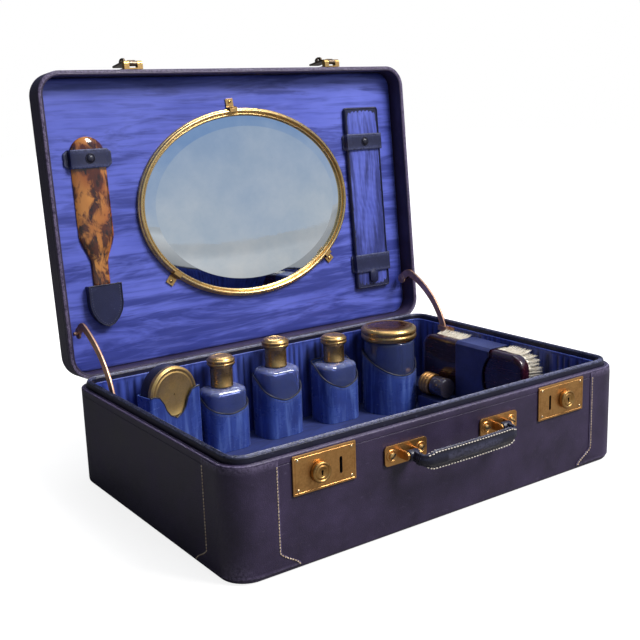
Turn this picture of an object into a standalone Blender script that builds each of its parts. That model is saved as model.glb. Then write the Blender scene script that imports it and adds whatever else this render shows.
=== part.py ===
"""Leather dressing case with fitted toilet bottles, lid mirror, stays, locks and carrying handle.

Metres, +Z up. The origin is at the middle of the base's underside, +X runs to the right along the front,
and the locks and handle face -Y. The lid is built closed under an empty on the hinge axis and then opened.
"""

import math

import bmesh
import bpy
from mathutils import Matrix, Vector

# Case
CASE_WIDTH = 0.420
CASE_DEPTH = 0.2824
BASE_HEIGHT = 0.091
LID_HEIGHT = 0.0277
CORNER_RADIUS = 0.0218
WALL = 0.0046
BASE_FLOOR = 0.005
BOTTOM_ROUNDING = 0.0037
LID_ROUNDING = 0.0053
LID_RECESS = 0.018
LID_TOP = 0.003
GAP = 0.0003
RIM_GAP = 0.0004

# Inner rim frame and silk tray of the base
RIM_THICKNESS = 0.0048
RIM_RISE = 0.0057
TRAY_WALL = 0.0016
TRAY_FLOOR = 0.0022
TRAY_RISE = 0.0005

# Stitched leather corners at the front
CORNER_THICKNESS = 0.0007
CORNER_REACH = 0.040
CORNER_FOOT_REACH = 0.0173
CORNER_FOOT_HEIGHT = 0.0150

# Lid hinges
LID_OPEN = math.radians(95)
HINGE_OUT = 0.0005
HINGE_FROM_END = 0.085
HINGE_LENGTH = 0.042
KNUCKLE_RADIUS = 0.0022
KNUCKLE_BORE = 0.0011
HINGE_PIN_RADIUS = 0.0008
LEAF_THICKNESS = 0.0010
LEAF_WIDTH = 0.0150

# Lid stays
STAY_FROM_END = 0.0146
STAY_THICKNESS = 0.0020
STAY_WIDTH = 0.0080
STAY_RATIO = -0.286
STAY_PIVOT_V = 0.044
STAY_PIVOT_W = 0.009
STAY_EYE_RADIUS = 0.0052
STAY_STUD_RADIUS = 0.0016
STAY_STUD_DEPTH = 0.0022
STAY_TAIL = 0.0072
STAY_HEAD_WIDTH = 0.0122
STAY_HEAD_LENGTH = 0.0020
GUIDE_FROM_BACK = 0.0572
GUIDE_DROP = 0.0030
GUIDE_HEIGHT = 0.0055
GUIDE_SLACK_WIDTH = 0.0016
GUIDE_SLACK_THICKNESS = 0.0004
GUIDE_METAL = 0.0012
GUIDE_FLANGE = 0.0085

# Locks, with the free lengths from handle mount to plate and from plate to corner leather
LOCK_FREE = (0.0279, 0.0116)
LOCK_TOP_DROP = 0.0017
LOCK_WIDTH = 0.0578
LOCK_HEIGHT = 0.0308
LOCK_THICKNESS = 0.0012
SLOT_FROM_LOCK = 0.0146
SLOT_WIDTH = 0.0026
SLOT_HEIGHT = 0.0134
SLOT_DEPTH = 0.0085
SLOT_DROP = 0.0179
KNOB_FROM_LOCK = 0.0052
KNOB_DROP = 0.0180
KNOB_RADIUS = 0.0084
KNOB_HEIGHT = 0.0046
KNOB_TRAVEL = 0.004
KNOB_STEM_RADIUS = 0.0024
KNOB_STEM_DEPTH = 0.0026

# Hasps on the lid
HASP_WIDTH = 0.019
HASP_LEAF_WIDTH = 0.0140
HASP_LEAF_THICKNESS = 0.0016
HASP_LEAF_DROP = 0.0275
HASP_AXIS_OUT = 0.0056
HASP_AXIS_W = 0.0034
HASP_KNUCKLE = 0.0026
HASP_PLATE_HEIGHT = 0.0100
HASP_PLATE_THICKNESS = 0.0012
HASP_LUG = 0.0054
HASP_BORE = 0.0012
HASP_PIN = 0.0009
HASP_FOLD = math.radians(184)
STAPLE_LENGTH = 0.0115
STAPLE_RISE = 0.0058
STAPLE_THICKNESS = 0.0018

# Handle
MOUNT_X = 0.0512
MOUNT_DROP = 0.0230
MOUNT_WIDTH = 0.0430
MOUNT_HEIGHT = 0.0165
MOUNT_THICKNESS = 0.0015
LUG_THICKNESS = 0.0020
LUG_RADIUS = 0.0034
HANDLE_AXIS_OUT = 0.0095
HANDLE_PIN_RADIUS = 0.0015
HANDLE_EYE_RADIUS = 0.0042
HANDLE_EYE_BORE = 0.0018
HANDLE_EYE_WIDTH = 0.0096
HANDLE_DEPTH = 0.0140
HANDLE_BEND = 0.0080
GRIP_WIDTH = 0.0165
GRIP_END_WIDTH = 0.0080
GRIP_THICKNESS = 0.0070
GRIP_EDGE = 0.0030
HANDLE_DROOP = math.radians(12)

# Fitted bottles: name, shoulder height, cap top, leather rim low and high
BOTTLES = (
    ("left", 0.0690, 0.1000, 0.0455, 0.0620),
    ("middle", 0.0775, 0.1072, 0.0465, 0.0700),
    ("right", 0.0695, 0.0985, 0.0450, 0.0700),
)
BOTTLE_FROM_BACK = 0.0327
BOTTLE_WIDTH = 0.0430
BOTTLE_DEPTH = 0.0340
BOTTLE_CORNER = 0.0110
BOTTLE_GLASS = 0.0024
NECK_RADIUS = 0.0108
NECK_BORE = 0.0078
CAP_RADIUS = 0.0128
CAP_BEAD = 0.0010
CAP_TOP_THICKNESS = 0.0016
CAP_LIFT = 0.0012
LEATHER = 0.0014
FIT = 0.0004

# Cream jar
JAR_FROM_BACK = 0.0442
JAR_RADIUS = 0.0275
JAR_SHOULDER = 0.0855
JAR_NECK_DROP = 0.0018
JAR_LID_TOP = 0.0998
JAR_LID_RADIUS = 0.0298
JAR_RIM_LOW = 0.0500
JAR_RIM_HIGH = 0.0720

# Round box on edge
BOX_FROM_BACK = 0.0347
BOX_TURN = math.radians(10)
BOX_RADIUS = 0.0265
BOX_THICKNESS = 0.0185
BOX_LID_THICKNESS = 0.0060
BOX_WALL = 0.0020
BOX_SEAT_Z = 0.0482
BOX_HOLDER_TOP = 0.0775
BOX_HOLDER_WIDTH = 0.0590
NOTCH_BOTTOM = 0.0520
NOTCH_HALF_WIDTH = 0.0240

# Brushes on their leather rest
REST_TOP = 0.0262
REST_FROM_END = 0.0158
REST_WIDTH = 0.0532
REST_FROM_BACK = 0.0212
REST_LENGTH = 0.1840
REST_STEP_WIDTH = 0.0314
REST_STEP_LENGTH = 0.0560
BRUSH_FROM_REST = 0.0272
BRUSH_BACK_THICKNESS = 0.0120
BRUSH_HEIGHT = 0.0600
BRISTLE_LENGTH = 0.0138
BRISTLE_INSET = 0.0045
REAR_BRUSH = (-0.1080, -0.0320)
FRONT_BRUSH = (-0.1800, -0.1120)
BRUSH_CORNER = 0.0150
SADDLE = (-0.1360, -0.0880)
SADDLE_LEATHER = 0.0013

# Small jar on its side
SMALL_FROM_LEFT = 0.0120
SMALL_START = -0.0900
SMALL_RADIUS = 0.0106
SMALL_LENGTH = 0.0200
SMALL_CAP_RADIUS = 0.0120
SMALL_CAP_LENGTH = 0.0160
SMALL_NECK = 0.0085

# Lid mirror
MIRROR_U = 0.005
MIRROR_FROM_END = 0.085
MIRROR_BELOW = 0.0520
MIRROR_ABOVE = 0.0378
FRAME_WIDTH = 0.0075
FRAME_DEPTH = 0.0058
GLASS_THICKNESS = 0.0036
GLASS_BEVEL = 0.0105
GLASS_EDGE = 0.0014
CLIP_WIDTH = 0.0085
CLIP_FOOT = 0.0100
CLIP_METAL = 0.0011
CLIP_HOOK = 0.0036
CLIP_ANGLES = (("top", 95), ("left", 222), ("right", 318))

# Shoehorn and its leathers
HORN_FROM_END = 0.0460
HORN_BOTTOM = 0.0520
HORN_ABOVE = 0.0584
HORN_THICKNESS = 0.0016
HORN_HEAD = 0.0350
HORN_NECK = 0.0170
HORN_ARCH = 0.0042
STRAP_FROM_TOP = 0.0205
STRAP_WIDTH = 0.0175
STRAP_REACH = 0.0235
POCKET_TOP = 0.0855
POCKET_BOTTOM = 0.0455
POCKET_WIDTH = 0.0335
POCKET_DEPTH = 0.0072
POCKET_WALL = 0.0013

# Comb case in the lid
CASE_FROM_END = 0.0510
CASE_BELOW = 0.0390
CASE_ABOVE = 0.0424
CASE_FACE_WIDTH = 0.0460
CASE_THICK = 0.0050
CASE_STRAPS = (("top", 0.0630, 0.0175), ("low", -0.0720, 0.0200))

# Places that follow from the sizes above
FRONT_Y = -CASE_DEPTH / 2
RIM_OFFSET = WALL + GAP
TRAY_OFFSET = RIM_OFFSET + RIM_THICKNESS + GAP
TRAY_BOTTOM = BASE_FLOOR + GAP
FLOOR_Z = TRAY_BOTTOM + TRAY_FLOOR
BACK_Y = CASE_DEPTH / 2
SIDE_X = CASE_WIDTH / 2
HINGE = Vector((0.0, BACK_Y + HINGE_OUT, BASE_HEIGHT))
HINGE_X = SIDE_X - HINGE_FROM_END
STAY_X = SIDE_X - STAY_FROM_END
GUIDE_Y = BACK_Y - GUIDE_FROM_BACK
GUIDE_Z = BASE_HEIGHT - GUIDE_DROP
MOUNT_END = MOUNT_X + MOUNT_WIDTH / 2
LOCK_ROOM = SIDE_X - CORNER_REACH - LOCK_WIDTH - MOUNT_END
LOCK_X = MOUNT_END + LOCK_ROOM * LOCK_FREE[0] / sum(LOCK_FREE) + LOCK_WIDTH / 2
SLOT_X = LOCK_X - SLOT_FROM_LOCK
SLOT_Z = BASE_HEIGHT - SLOT_DROP
KNOB_X = LOCK_X + KNOB_FROM_LOCK
KNOB_Z = BASE_HEIGHT - KNOB_DROP
HASP_LEAF_END = BASE_HEIGHT - HASP_LEAF_DROP
MOUNT_Z = BASE_HEIGHT - MOUNT_DROP
BOTTLE_Y = BACK_Y - BOTTLE_FROM_BACK
JAR_Y = BACK_Y - JAR_FROM_BACK
BOX_Y = BACK_Y - BOX_FROM_BACK
REST_RIGHT = SIDE_X - REST_FROM_END
REST_LEFT = REST_RIGHT - REST_WIDTH
REST_BACK = BACK_Y - REST_FROM_BACK
REST_FRONT = REST_BACK - REST_LENGTH
REST_STEP_X = REST_RIGHT - REST_STEP_WIDTH
REST_STEP_Y = REST_BACK - REST_STEP_LENGTH
BRUSH_LEFT = REST_RIGHT - BRUSH_FROM_REST
SMALL_X = REST_LEFT + SMALL_FROM_LEFT
SMALL_Y = REST_BACK + SMALL_START
MIRROR_HALF_WIDTH = SIDE_X - MIRROR_FROM_END
MIRROR_HALF_HEIGHT = (CASE_DEPTH - MIRROR_ABOVE - MIRROR_BELOW) / 2
MIRROR_V = MIRROR_BELOW + MIRROR_HALF_HEIGHT
HORN_U = HORN_FROM_END - SIDE_X
HORN_TOP = CASE_DEPTH - HORN_ABOVE
STRAP_V = HORN_TOP - STRAP_FROM_TOP
CASE_U = SIDE_X - CASE_FROM_END
CASE_LENGTH = CASE_DEPTH - CASE_ABOVE - CASE_BELOW
CASE_V = CASE_BELOW + CASE_LENGTH / 2
LINING_W = LID_RECESS
LID_SEAT_W = LINING_W - GAP

# The row at the back of the tray: free lengths before, between and after box, bottles and jar
ROW_FREE = (0.0364, 0.0047, 0.0169, 0.0259, 0.0129, 0.0050)
BOX_ROW_WIDTH = BOX_HOLDER_WIDTH + 0.0020
ROUND_STEPS = 20
JAR_STEPS = 28
SMALL_STEPS = 16


def row_places():
    """Centres of box, three bottles and jar along the back row; free length is shared as in ROW_FREE."""
    bottle_wide = BOTTLE_WIDTH + 2 * (FIT + LEATHER)
    widths = (BOX_ROW_WIDTH, bottle_wide, bottle_wide, bottle_wide, 2 * (JAR_RADIUS + FIT + LEATHER))
    start = TRAY_OFFSET + TRAY_WALL - SIDE_X
    share = (REST_STEP_X - start - sum(widths)) / sum(ROW_FREE)
    places = []
    for free, wide in zip(ROW_FREE, widths):
        places.append(start + free * share + wide / 2)
        start += free * share + wide
    return places


def material(name, colour, roughness, metallic=0.0, transmission=0.0):
    """A Principled BSDF material, made once for each name."""
    found = bpy.data.materials.get(name)
    if found:
        return found
    made = bpy.data.materials.new(name)
    made.use_nodes = True
    shader = made.node_tree.nodes["Principled BSDF"]
    shader.inputs["Base Color"].default_value = (*colour, 1.0)
    shader.inputs["Roughness"].default_value = roughness
    shader.inputs["Metallic"].default_value = metallic
    shader.inputs["Transmission Weight"].default_value = transmission
    made.diffuse_color = (*colour, 1.0)
    return made


def leather():
    """Dark navy morocco leather of the case."""
    return material("navy_leather", (0.022, 0.020, 0.045), 0.42)


def blue_leather():
    """Mid blue leather of the holders."""
    return material("blue_leather", (0.020, 0.035, 0.150), 0.45)


def silk():
    """Blue silk of the tray."""
    return material("blue_silk", (0.030, 0.050, 0.300), 0.38)


def moire():
    """Periwinkle watered silk of the lid."""
    return material("moire_silk", (0.110, 0.130, 0.560), 0.34)


def brass():
    """Polished gilt brass."""
    return material("gilt_brass", (0.720, 0.440, 0.160), 0.24, metallic=1.0)


def glass():
    """Clear bottle glass."""
    return material("clear_glass", (0.85, 0.90, 0.95), 0.05, transmission=0.9)


def place(solid, parent=None, location=(0, 0, 0), rotation=(0, 0, 0)):
    """Puts an object, or an empty, at its place under its parent."""
    solid.parent = parent
    solid.location = location
    solid.rotation_euler = rotation
    return solid


def empty(name, parent=None, location=(0, 0, 0), rotation=(0, 0, 0)):
    """A frame to build on."""
    made = bpy.data.objects.new(name, None)
    bpy.context.scene.collection.objects.link(made)
    return place(made, parent, location, rotation)


def finish_mesh(name, bm, surface):
    """Turns a bmesh into an object with outward faces, its material and smooth round sides."""
    bmesh.ops.recalc_face_normals(bm, faces=bm.faces)
    mesh = bpy.data.meshes.new(name)
    bm.to_mesh(mesh)
    bm.free()
    mesh.shade_smooth()
    mesh.set_sharp_from_angle(angle=math.radians(35))
    solid = bpy.data.objects.new(name, mesh)
    bpy.context.scene.collection.objects.link(solid)
    if surface:
        mesh.materials.append(surface)
    return solid


def loft(name, rings, surface, closed=False):
    """Skins a row of rings with equal point counts; the ends are capped, or joined when closed."""
    bm = bmesh.new()
    rows = [[bm.verts.new(p) for p in ring] for ring in rings]
    pairs = list(zip(rows, rows[1:]))
    if closed:
        pairs.append((rows[-1], rows[0]))
    count = len(rows[0])
    for low, high in pairs:
        for i in range(count):
            j = (i + 1) % count
            bm.faces.new((low[i], low[j], high[j], high[i]))
    if not closed:
        bm.faces.new(rows[0])
        bm.faces.new(rows[-1])
    return finish_mesh(name, bm, surface)


def prism(name, outline, start, end, surface, axis="Z"):
    """Extrudes a flat outline between two heights on an axis; the outline is in the two other axes."""
    place_point = {
        "X": lambda a, b, h: (h, a, b),
        "Y": lambda a, b, h: (a, h, b),
        "Z": lambda a, b, h: (a, b, h),
    }[axis]
    rings = [[place_point(a, b, h) for a, b in outline] for h in (start, end)]
    return loft(name, rings, surface)


def hidden(tool):
    """Marks a shape that only cuts or adds to another."""
    tool.hide_render = True
    tool.display_type = "WIRE"
    return tool


def boolean(solid, tool, operation):
    """Cuts, or adds, a hidden tool shape with an exact Boolean."""
    hidden(tool)
    step = solid.modifiers.new(tool.name, "BOOLEAN")
    step.operation = operation
    step.solver = "EXACT"
    step.object = tool
    return solid


def cut(solid, tool):
    """Takes a tool shape away from a solid."""
    return boolean(solid, tool, "DIFFERENCE")


def add(solid, tool):
    """Joins a tool shape to a solid."""
    return boolean(solid, tool, "UNION")


def rounded_rectangle(width, depth, radius, steps=5, centre=(0.0, 0.0)):
    """Outline of a rectangle with round corners, anticlockwise from the right side."""
    points = []
    corners = ((1, -1, -90), (1, 1, 0), (-1, 1, 90), (-1, -1, 180))
    for sx, sy, first in corners:
        cx = centre[0] + sx * (width / 2 - radius)
        cy = centre[1] + sy * (depth / 2 - radius)
        for k in range(steps + 1):
            a = math.radians(first + 90 * k / steps)
            points.append((cx + radius * math.cos(a), cy + radius * math.sin(a)))
    return points


def circle(radius, steps=ROUND_STEPS, centre=(0.0, 0.0), half_height=None):
    """Outline of a circle, or of an ellipse when a half height is given."""
    tall = radius if half_height is None else half_height
    turns = [2 * math.pi * k / steps for k in range(steps)]
    return [(centre[0] + radius * math.cos(a), centre[1] + tall * math.sin(a)) for a in turns]


def at_height(outline, z):
    """Lifts a flat outline to a height."""
    return [(x, y, z) for x, y in outline]


def case_ring(offset, z, steps=6):
    """The case's plan outline, moved inward by an offset, at a height."""
    outline = rounded_rectangle(
        CASE_WIDTH - 2 * offset, CASE_DEPTH - 2 * offset, CORNER_RADIUS - offset, steps
    )
    return at_height(outline, z)


def rounding(radius, steps=3):
    """Steps (inset, rise) of a quarter round from the flat face out to the side."""
    turns = [math.pi / 2 * k / steps for k in range(steps + 1)]
    return [(radius * (1 - math.sin(a)), radius * (1 - math.cos(a))) for a in turns]


def turned(name, profile, surface, steps=ROUND_STEPS, closed=False):
    """Revolves (radius, height) points about the local Z axis."""
    rings = [at_height(circle(r, steps), z) for r, z in profile]
    return loft(name, rings, surface, closed)


def rod(name, radius, start, end, surface, axis, centre, steps=16):
    """A round bar along an axis; the centre is in the two other axes."""
    return prism(name, circle(radius, steps, centre), start, end, surface, axis)


def tube(name, outer, bore, start, end, surface, centre, steps=16):
    """A knuckle along X around a bore."""
    rings = [
        [(start, y, z) for y, z in circle(outer, steps, centre)],
        [(end, y, z) for y, z in circle(outer, steps, centre)],
        [(end, y, z) for y, z in circle(bore, steps, centre)],
        [(start, y, z) for y, z in circle(bore, steps, centre)],
    ]
    return loft(name, rings, surface, closed=True)


def block(name, low, high, surface=None):
    """A box between two opposite corners."""
    outline = [(low[0], low[1]), (high[0], low[1]), (high[0], high[1]), (low[0], high[1])]
    return prism(name, outline, low[2], high[2], surface)


def base_shell():
    """Leather-covered body of the base, open at the top."""
    rings = [case_ring(inset, rise) for inset, rise in rounding(BOTTOM_ROUNDING)]
    rings.append(case_ring(0, BASE_HEIGHT - 0.0010))
    rings.append(case_ring(0.0003, BASE_HEIGHT - 0.0003))
    rings.append(case_ring(0.0010, BASE_HEIGHT))
    rings.append(case_ring(WALL, BASE_HEIGHT))
    rings.append(case_ring(WALL, BASE_FLOOR))
    return loft("base_shell", rings, leather())


def base_rim():
    """Leather-covered frame that stands inside the base and enters the lid."""
    top = BASE_HEIGHT + RIM_RISE
    inner = RIM_OFFSET + RIM_THICKNESS
    rings = [
        case_ring(RIM_OFFSET, TRAY_BOTTOM),
        case_ring(RIM_OFFSET, top - 0.0012),
        case_ring(RIM_OFFSET + 0.0004, top - 0.0004),
        case_ring(RIM_OFFSET + 0.0014, top),
        case_ring(inner - 0.0012, top),
        case_ring(inner - 0.0003, top - 0.0004),
        case_ring(inner, top - 0.0012),
        case_ring(inner, TRAY_BOTTOM),
    ]
    return loft("base_rim", rings, leather(), closed=True)


def base_lining():
    """Silk tray inside the rim frame."""
    inner = TRAY_OFFSET + TRAY_WALL
    top = BASE_HEIGHT + TRAY_RISE
    rings = [
        case_ring(TRAY_OFFSET, TRAY_BOTTOM, 5),
        case_ring(TRAY_OFFSET, top, 5),
        case_ring(inner, top, 5),
        case_ring(inner, FLOOR_Z, 5),
    ]
    return loft("base_lining", rings, silk())


def front_corner_point(s, out, z):
    """A point s along the outside from the front seam's end of a right corner, moved out by a distance."""
    straight = CORNER_REACH - CORNER_RADIUS
    arc = CORNER_RADIUS * math.pi / 2
    centre = Vector((CASE_WIDTH / 2 - CORNER_RADIUS, FRONT_Y + CORNER_RADIUS, z))
    if s < straight:
        return Vector((centre.x - straight + s, FRONT_Y - out, z))
    if s < straight + arc:
        a = (s - straight) / CORNER_RADIUS
        reach = CORNER_RADIUS + out
        return centre + Vector((reach * math.sin(a), -reach * math.cos(a), 0))
    return Vector((CASE_WIDTH / 2 + out, centre.y + s - straight - arc, z))


def corner(name, side):
    """Stitched leather corner piece whose lower edge flares in an ogee foot."""
    bottom = BOTTOM_ROUNDING + 0.0002
    top = BASE_HEIGHT - 0.0014
    foot_top = bottom + CORNER_FOOT_HEIGHT
    heights = [bottom + CORNER_FOOT_HEIGHT * k / 4 for k in range(5)] + [top]
    whole = 2 * (CORNER_REACH - CORNER_RADIUS) + CORNER_RADIUS * math.pi / 2
    columns = 20
    grids = []
    for out in (GAP, GAP + CORNER_THICKNESS):
        grid = []
        for z in heights:
            t = max(0.0, (foot_top - z) / CORNER_FOOT_HEIGHT)
            flare = CORNER_FOOT_REACH * t * t * (3 - 2 * t)
            ends = (-flare, whole + flare)
            row = []
            for k in range(columns + 1):
                s = ends[0] + (ends[1] - ends[0]) * k / columns
                p = front_corner_point(s, out, z)
                row.append((side * p.x, p.y, p.z))
            grid.append(row)
        grids.append(grid)
    inner, outer = grids
    rings = []
    for low, high in zip(inner, outer):
        rings.append(high + low[::-1])
    return loft(name, rings, leather())


def hinge_centre():
    """The hinge axis in the base's frame, as (y, z)."""
    return (HINGE.y, HINGE.z)


def hinge_halves(side_name, side, lid_axis):
    """The base leaf with its knuckles and riveted pin, and the lid leaf, of one back hinge."""
    third = HINGE_LENGTH / 3
    start = side * HINGE_X - HINGE_LENGTH / 2
    leaf_y = CASE_DEPTH / 2 + GAP
    top = HINGE.z - KNUCKLE_RADIUS * 0.35
    base_leaf = block(
        "hinge_leaf_base_" + side_name,
        (start, leaf_y, HINGE.z - LEAF_WIDTH),
        (start + HINGE_LENGTH, leaf_y + LEAF_THICKNESS, HINGE.z - KNUCKLE_RADIUS - 0.0004),
        brass(),
    )
    for k in (0, 2):
        tag = "_{}_{}".format(side_name, k)
        x0 = start + k * third
        x1 = x0 + third
        if k == 0:
            x1 -= GAP
        else:
            x0 += GAP
        ring = rod("base_knuckle" + tag, KNUCKLE_RADIUS, x0, x1, None, "X", hinge_centre(), 12)
        neck_low = (x0, leaf_y, HINGE.z - LEAF_WIDTH / 2)
        neck = block("base_neck" + tag, neck_low, (x1, leaf_y + LEAF_THICKNESS, top))
        add(base_leaf, neck)
        add(base_leaf, ring)
    ends = (start + third / 2, start + HINGE_LENGTH - third / 2)
    pin = rod("hinge_pin_" + side_name, HINGE_PIN_RADIUS, *ends, None, "X", hinge_centre(), 12)
    add(base_leaf, pin)
    x0 = start + third + GAP
    x1 = start + 2 * third - GAP
    lid_y = CASE_DEPTH / 2 + GAP - HINGE.y
    lid_leaf = block(
        "hinge_leaf_lid_" + side_name,
        (start, lid_y, KNUCKLE_RADIUS + 0.0004),
        (start + HINGE_LENGTH, lid_y + LEAF_THICKNESS, LEAF_WIDTH),
        brass(),
    )
    lid_ring = tube("lid_knuckle_" + side_name, KNUCKLE_RADIUS, KNUCKLE_BORE, x0, x1, None, (0, 0), 12)
    neck_low = (x0, lid_y, (KNUCKLE_BORE + KNUCKLE_RADIUS) / 2)
    lid_neck = block("lid_neck_" + side_name, neck_low, (x1, lid_y + LEAF_THICKNESS, LEAF_WIDTH / 2))
    for tool in (lid_neck, lid_ring):
        place(tool, lid_axis)
        add(lid_leaf, tool)
    place(lid_leaf, lid_axis)
    return base_leaf, lid_leaf


def knuckle_recess(name, side):
    """Room for a back hinge's knuckles in the edges of base and lid."""
    half = HINGE_LENGTH / 2 + 0.0005
    centre = side * HINGE_X
    reach = KNUCKLE_RADIUS + 0.0005
    return rod(name, reach, centre - half, centre + half, None, "X", hinge_centre(), 16)


def rounded_slot(name, centre_x, centre_z, width, height, y0, y1):
    """A cutter through the front wall."""
    radius = min(width, height) * 0.48
    outline = rounded_rectangle(width, height, radius, 4, (centre_x, centre_z))
    return prism(name, outline, y0, y1, None, "Y")


def lock(side_name, side, shell, rim):
    """Lock plate with its staple slot, and the sliding knob over its slot."""
    face = FRONT_Y - GAP
    front = face - LOCK_THICKNESS
    plate_z = BASE_HEIGHT - LOCK_TOP_DROP - LOCK_HEIGHT / 2
    outline = rounded_rectangle(LOCK_WIDTH, LOCK_HEIGHT, 0.0008, 2, (side * LOCK_X, plate_z))
    plate = prism("lock_plate_" + side_name, outline, front, face, brass(), "Y")
    deep = FRONT_Y + SLOT_DEPTH
    slot = rounded_slot(
        "staple_slot_" + side_name, side * SLOT_X, SLOT_Z, SLOT_WIDTH, SLOT_HEIGHT, front - 0.001, deep
    )
    for solid in (plate, shell, rim):
        cut(solid, slot)
    reach = KNOB_STEM_RADIUS + 0.0004
    stem_slot = rounded_slot(
        "knob_slot_" + side_name,
        side * (KNOB_X + KNOB_TRAVEL / 2),
        KNOB_Z,
        2 * reach + KNOB_TRAVEL,
        2 * reach,
        front - 0.001,
        FRONT_Y + KNOB_STEM_DEPTH + 0.0004,
    )
    for solid in (plate, shell):
        cut(solid, stem_slot)

    # The knob is turned about its own Z axis, which points out of the front.
    seat = GAP
    profile = [(KNOB_STEM_RADIUS, -(LOCK_THICKNESS + GAP + KNOB_STEM_DEPTH)), (KNOB_STEM_RADIUS, seat)]
    profile += [(KNOB_RADIUS - 0.0004, seat), (KNOB_RADIUS, seat + 0.0006)]
    profile += [(KNOB_RADIUS, KNOB_HEIGHT - 0.0010), (KNOB_RADIUS - 0.0009, KNOB_HEIGHT)]
    profile += [(KNOB_RADIUS - 0.0022, KNOB_HEIGHT), (KNOB_RADIUS - 0.0027, KNOB_HEIGHT - 0.0007)]
    profile.append((0.0042, KNOB_HEIGHT - 0.0007))
    profile.append((0.0038, KNOB_HEIGHT - 0.0001))
    knob = turned("lock_knob_" + side_name, profile, brass())
    hole = [(0.0011 * math.cos(a), 0.0011 * math.sin(a) + 0.0008) for a in arc_turns(-50, 230, 8)]
    hole += [(-0.0006, -0.0026), (0.0006, -0.0026)]
    keyhole = prism("keyhole_" + side_name, hole, KNOB_HEIGHT - 0.0025, KNOB_HEIGHT + 0.001, None)
    place(keyhole, knob)
    cut(knob, keyhole)
    place(knob, None, (side * KNOB_X, front, KNOB_Z), (math.radians(90), 0, 0))
    return plate, knob


def arc_turns(first, last, steps):
    """Angles in radians spread evenly over an arc given in degrees."""
    return [math.radians(first + (last - first) * k / steps) for k in range(steps + 1)]


def lug_outline(axis_out, radius, half):
    """Side view of a lug: straight from its plate and round about its pin, as (y, z) from the plate."""
    points = [(0.0, half), (0.0, -half)]
    points += [(-axis_out + radius * math.cos(a), radius * math.sin(a)) for a in arc_turns(-90, -270, 8)]
    return points


def handle_mount(side_name, side):
    """Brass handle plate with two lugs and the pin between them."""
    centre = side * MOUNT_X
    face = FRONT_Y - GAP
    outline = rounded_rectangle(MOUNT_WIDTH, MOUNT_HEIGHT, 0.0030, 4, (centre, MOUNT_Z))
    mount = prism("handle_mount_" + side_name, outline, face - MOUNT_THICKNESS, face, brass(), "Y")
    inner = HANDLE_EYE_WIDTH / 2 + GAP
    side_view = lug_outline(HANDLE_AXIS_OUT - GAP - 0.0005, LUG_RADIUS, LUG_RADIUS)
    moved = [(face - 0.0005 + y, MOUNT_Z + z) for y, z in side_view]
    for k, tag in ((-1, "inner"), (1, "outer")):
        x0 = centre + k * inner
        x1 = centre + k * (inner + LUG_THICKNESS)
        lug_name = "mount_lug_{}_{}".format(side_name, tag)
        add(mount, prism(lug_name, moved, min(x0, x1), max(x0, x1), None, "X"))
    reach = inner + LUG_THICKNESS / 2
    pin_centre = (FRONT_Y - HANDLE_AXIS_OUT, MOUNT_Z)
    pin_name = "mount_pin_" + side_name
    add(mount, rod(pin_name, HANDLE_PIN_RADIUS, centre - reach, centre + reach, None, "X", pin_centre, 12))
    return mount


def grip_path():
    """Centre line of the handle as (x, distance from the axis, heading), from the left eye to the right."""
    points = [(-MOUNT_X, HANDLE_EYE_BORE + 0.0008, 90.0), (-MOUNT_X, HANDLE_DEPTH - HANDLE_BEND, 90.0)]
    cx = -MOUNT_X + HANDLE_BEND
    cy = HANDLE_DEPTH - HANDLE_BEND
    for k in range(1, 5):
        a = math.radians(180 - 90 * k / 4)
        points.append((cx + HANDLE_BEND * math.cos(a), cy + HANDLE_BEND * math.sin(a), 90.0 - 22.5 * k))
    half = [(-MOUNT_X * f, HANDLE_DEPTH + 0.0008 * (1 - (f / 0.7) ** 2), 0.0) for f in (0.62, 0.35, 0.0)]
    points += half
    mirrored = [(-x, t, -heading) for x, t, heading in reversed(points[:-1])]
    return points + mirrored


def handle_grip():
    """Padded leather grip, bowed between two eyes on the mounts' pins."""
    rings = []
    for x, t, heading in grip_path():
        a = math.radians(heading)
        outward = Vector((-math.sin(a), 0)) + Vector((0, math.cos(a)))
        share = min(1.0, max(0.0, (MOUNT_X - abs(x)) / (MOUNT_X * 0.42)))
        wide = GRIP_END_WIDTH + (GRIP_WIDTH - GRIP_END_WIDTH) * share ** 0.6
        thick = GRIP_THICKNESS * (0.80 + 0.20 * share)
        section = grip_section(wide, thick)
        ring = [(x + outward.x * n, -(t + outward.y * n), b) for b, n in section]
        rings.append(ring)
    grip = loft("handle_grip", rings, leather())
    for side_name, side in SIDES:
        start = side * MOUNT_X - HANDLE_EYE_WIDTH / 2
        end = start + HANDLE_EYE_WIDTH
        eye = tube("grip_eye_" + side_name, HANDLE_EYE_RADIUS, HANDLE_EYE_BORE, start, end, None, (0, 0))
        place(eye, grip)
        add(grip, eye)
    location = (0, FRONT_Y - HANDLE_AXIS_OUT, MOUNT_Z)
    return place(grip, None, location, (HANDLE_DROOP, 0, 0))


def grip_section(wide, thick):
    """Section of the grip: flat stitched edges and a padded rib along the middle."""
    half = wide / 2
    edge = GRIP_EDGE / 2
    rib = thick / 2
    outer = [(half, 0.0), (half * 0.94, edge), (half * 0.60, edge * 1.1), (half * 0.34, rib * 0.94)]
    outer += [(0.0, rib * 1.04)]
    upper = outer + [(-b, n) for b, n in reversed(outer[:-1])]
    lower = [(b, -n * 0.80) for b, n in reversed(upper[1:-1])]
    return upper + lower


def lid_point(u, v, w):
    """A place in the closed lid: u along the hinge, v from the hinge edge, w up from the rim plane."""
    return Vector((u, CASE_DEPTH / 2 - v - HINGE.y, RIM_GAP + w))


def lid_outline(points, w):
    """A flat (u, v) outline in the lid at a depth."""
    return [tuple(lid_point(u, v, w)) for u, v in points]


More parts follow.
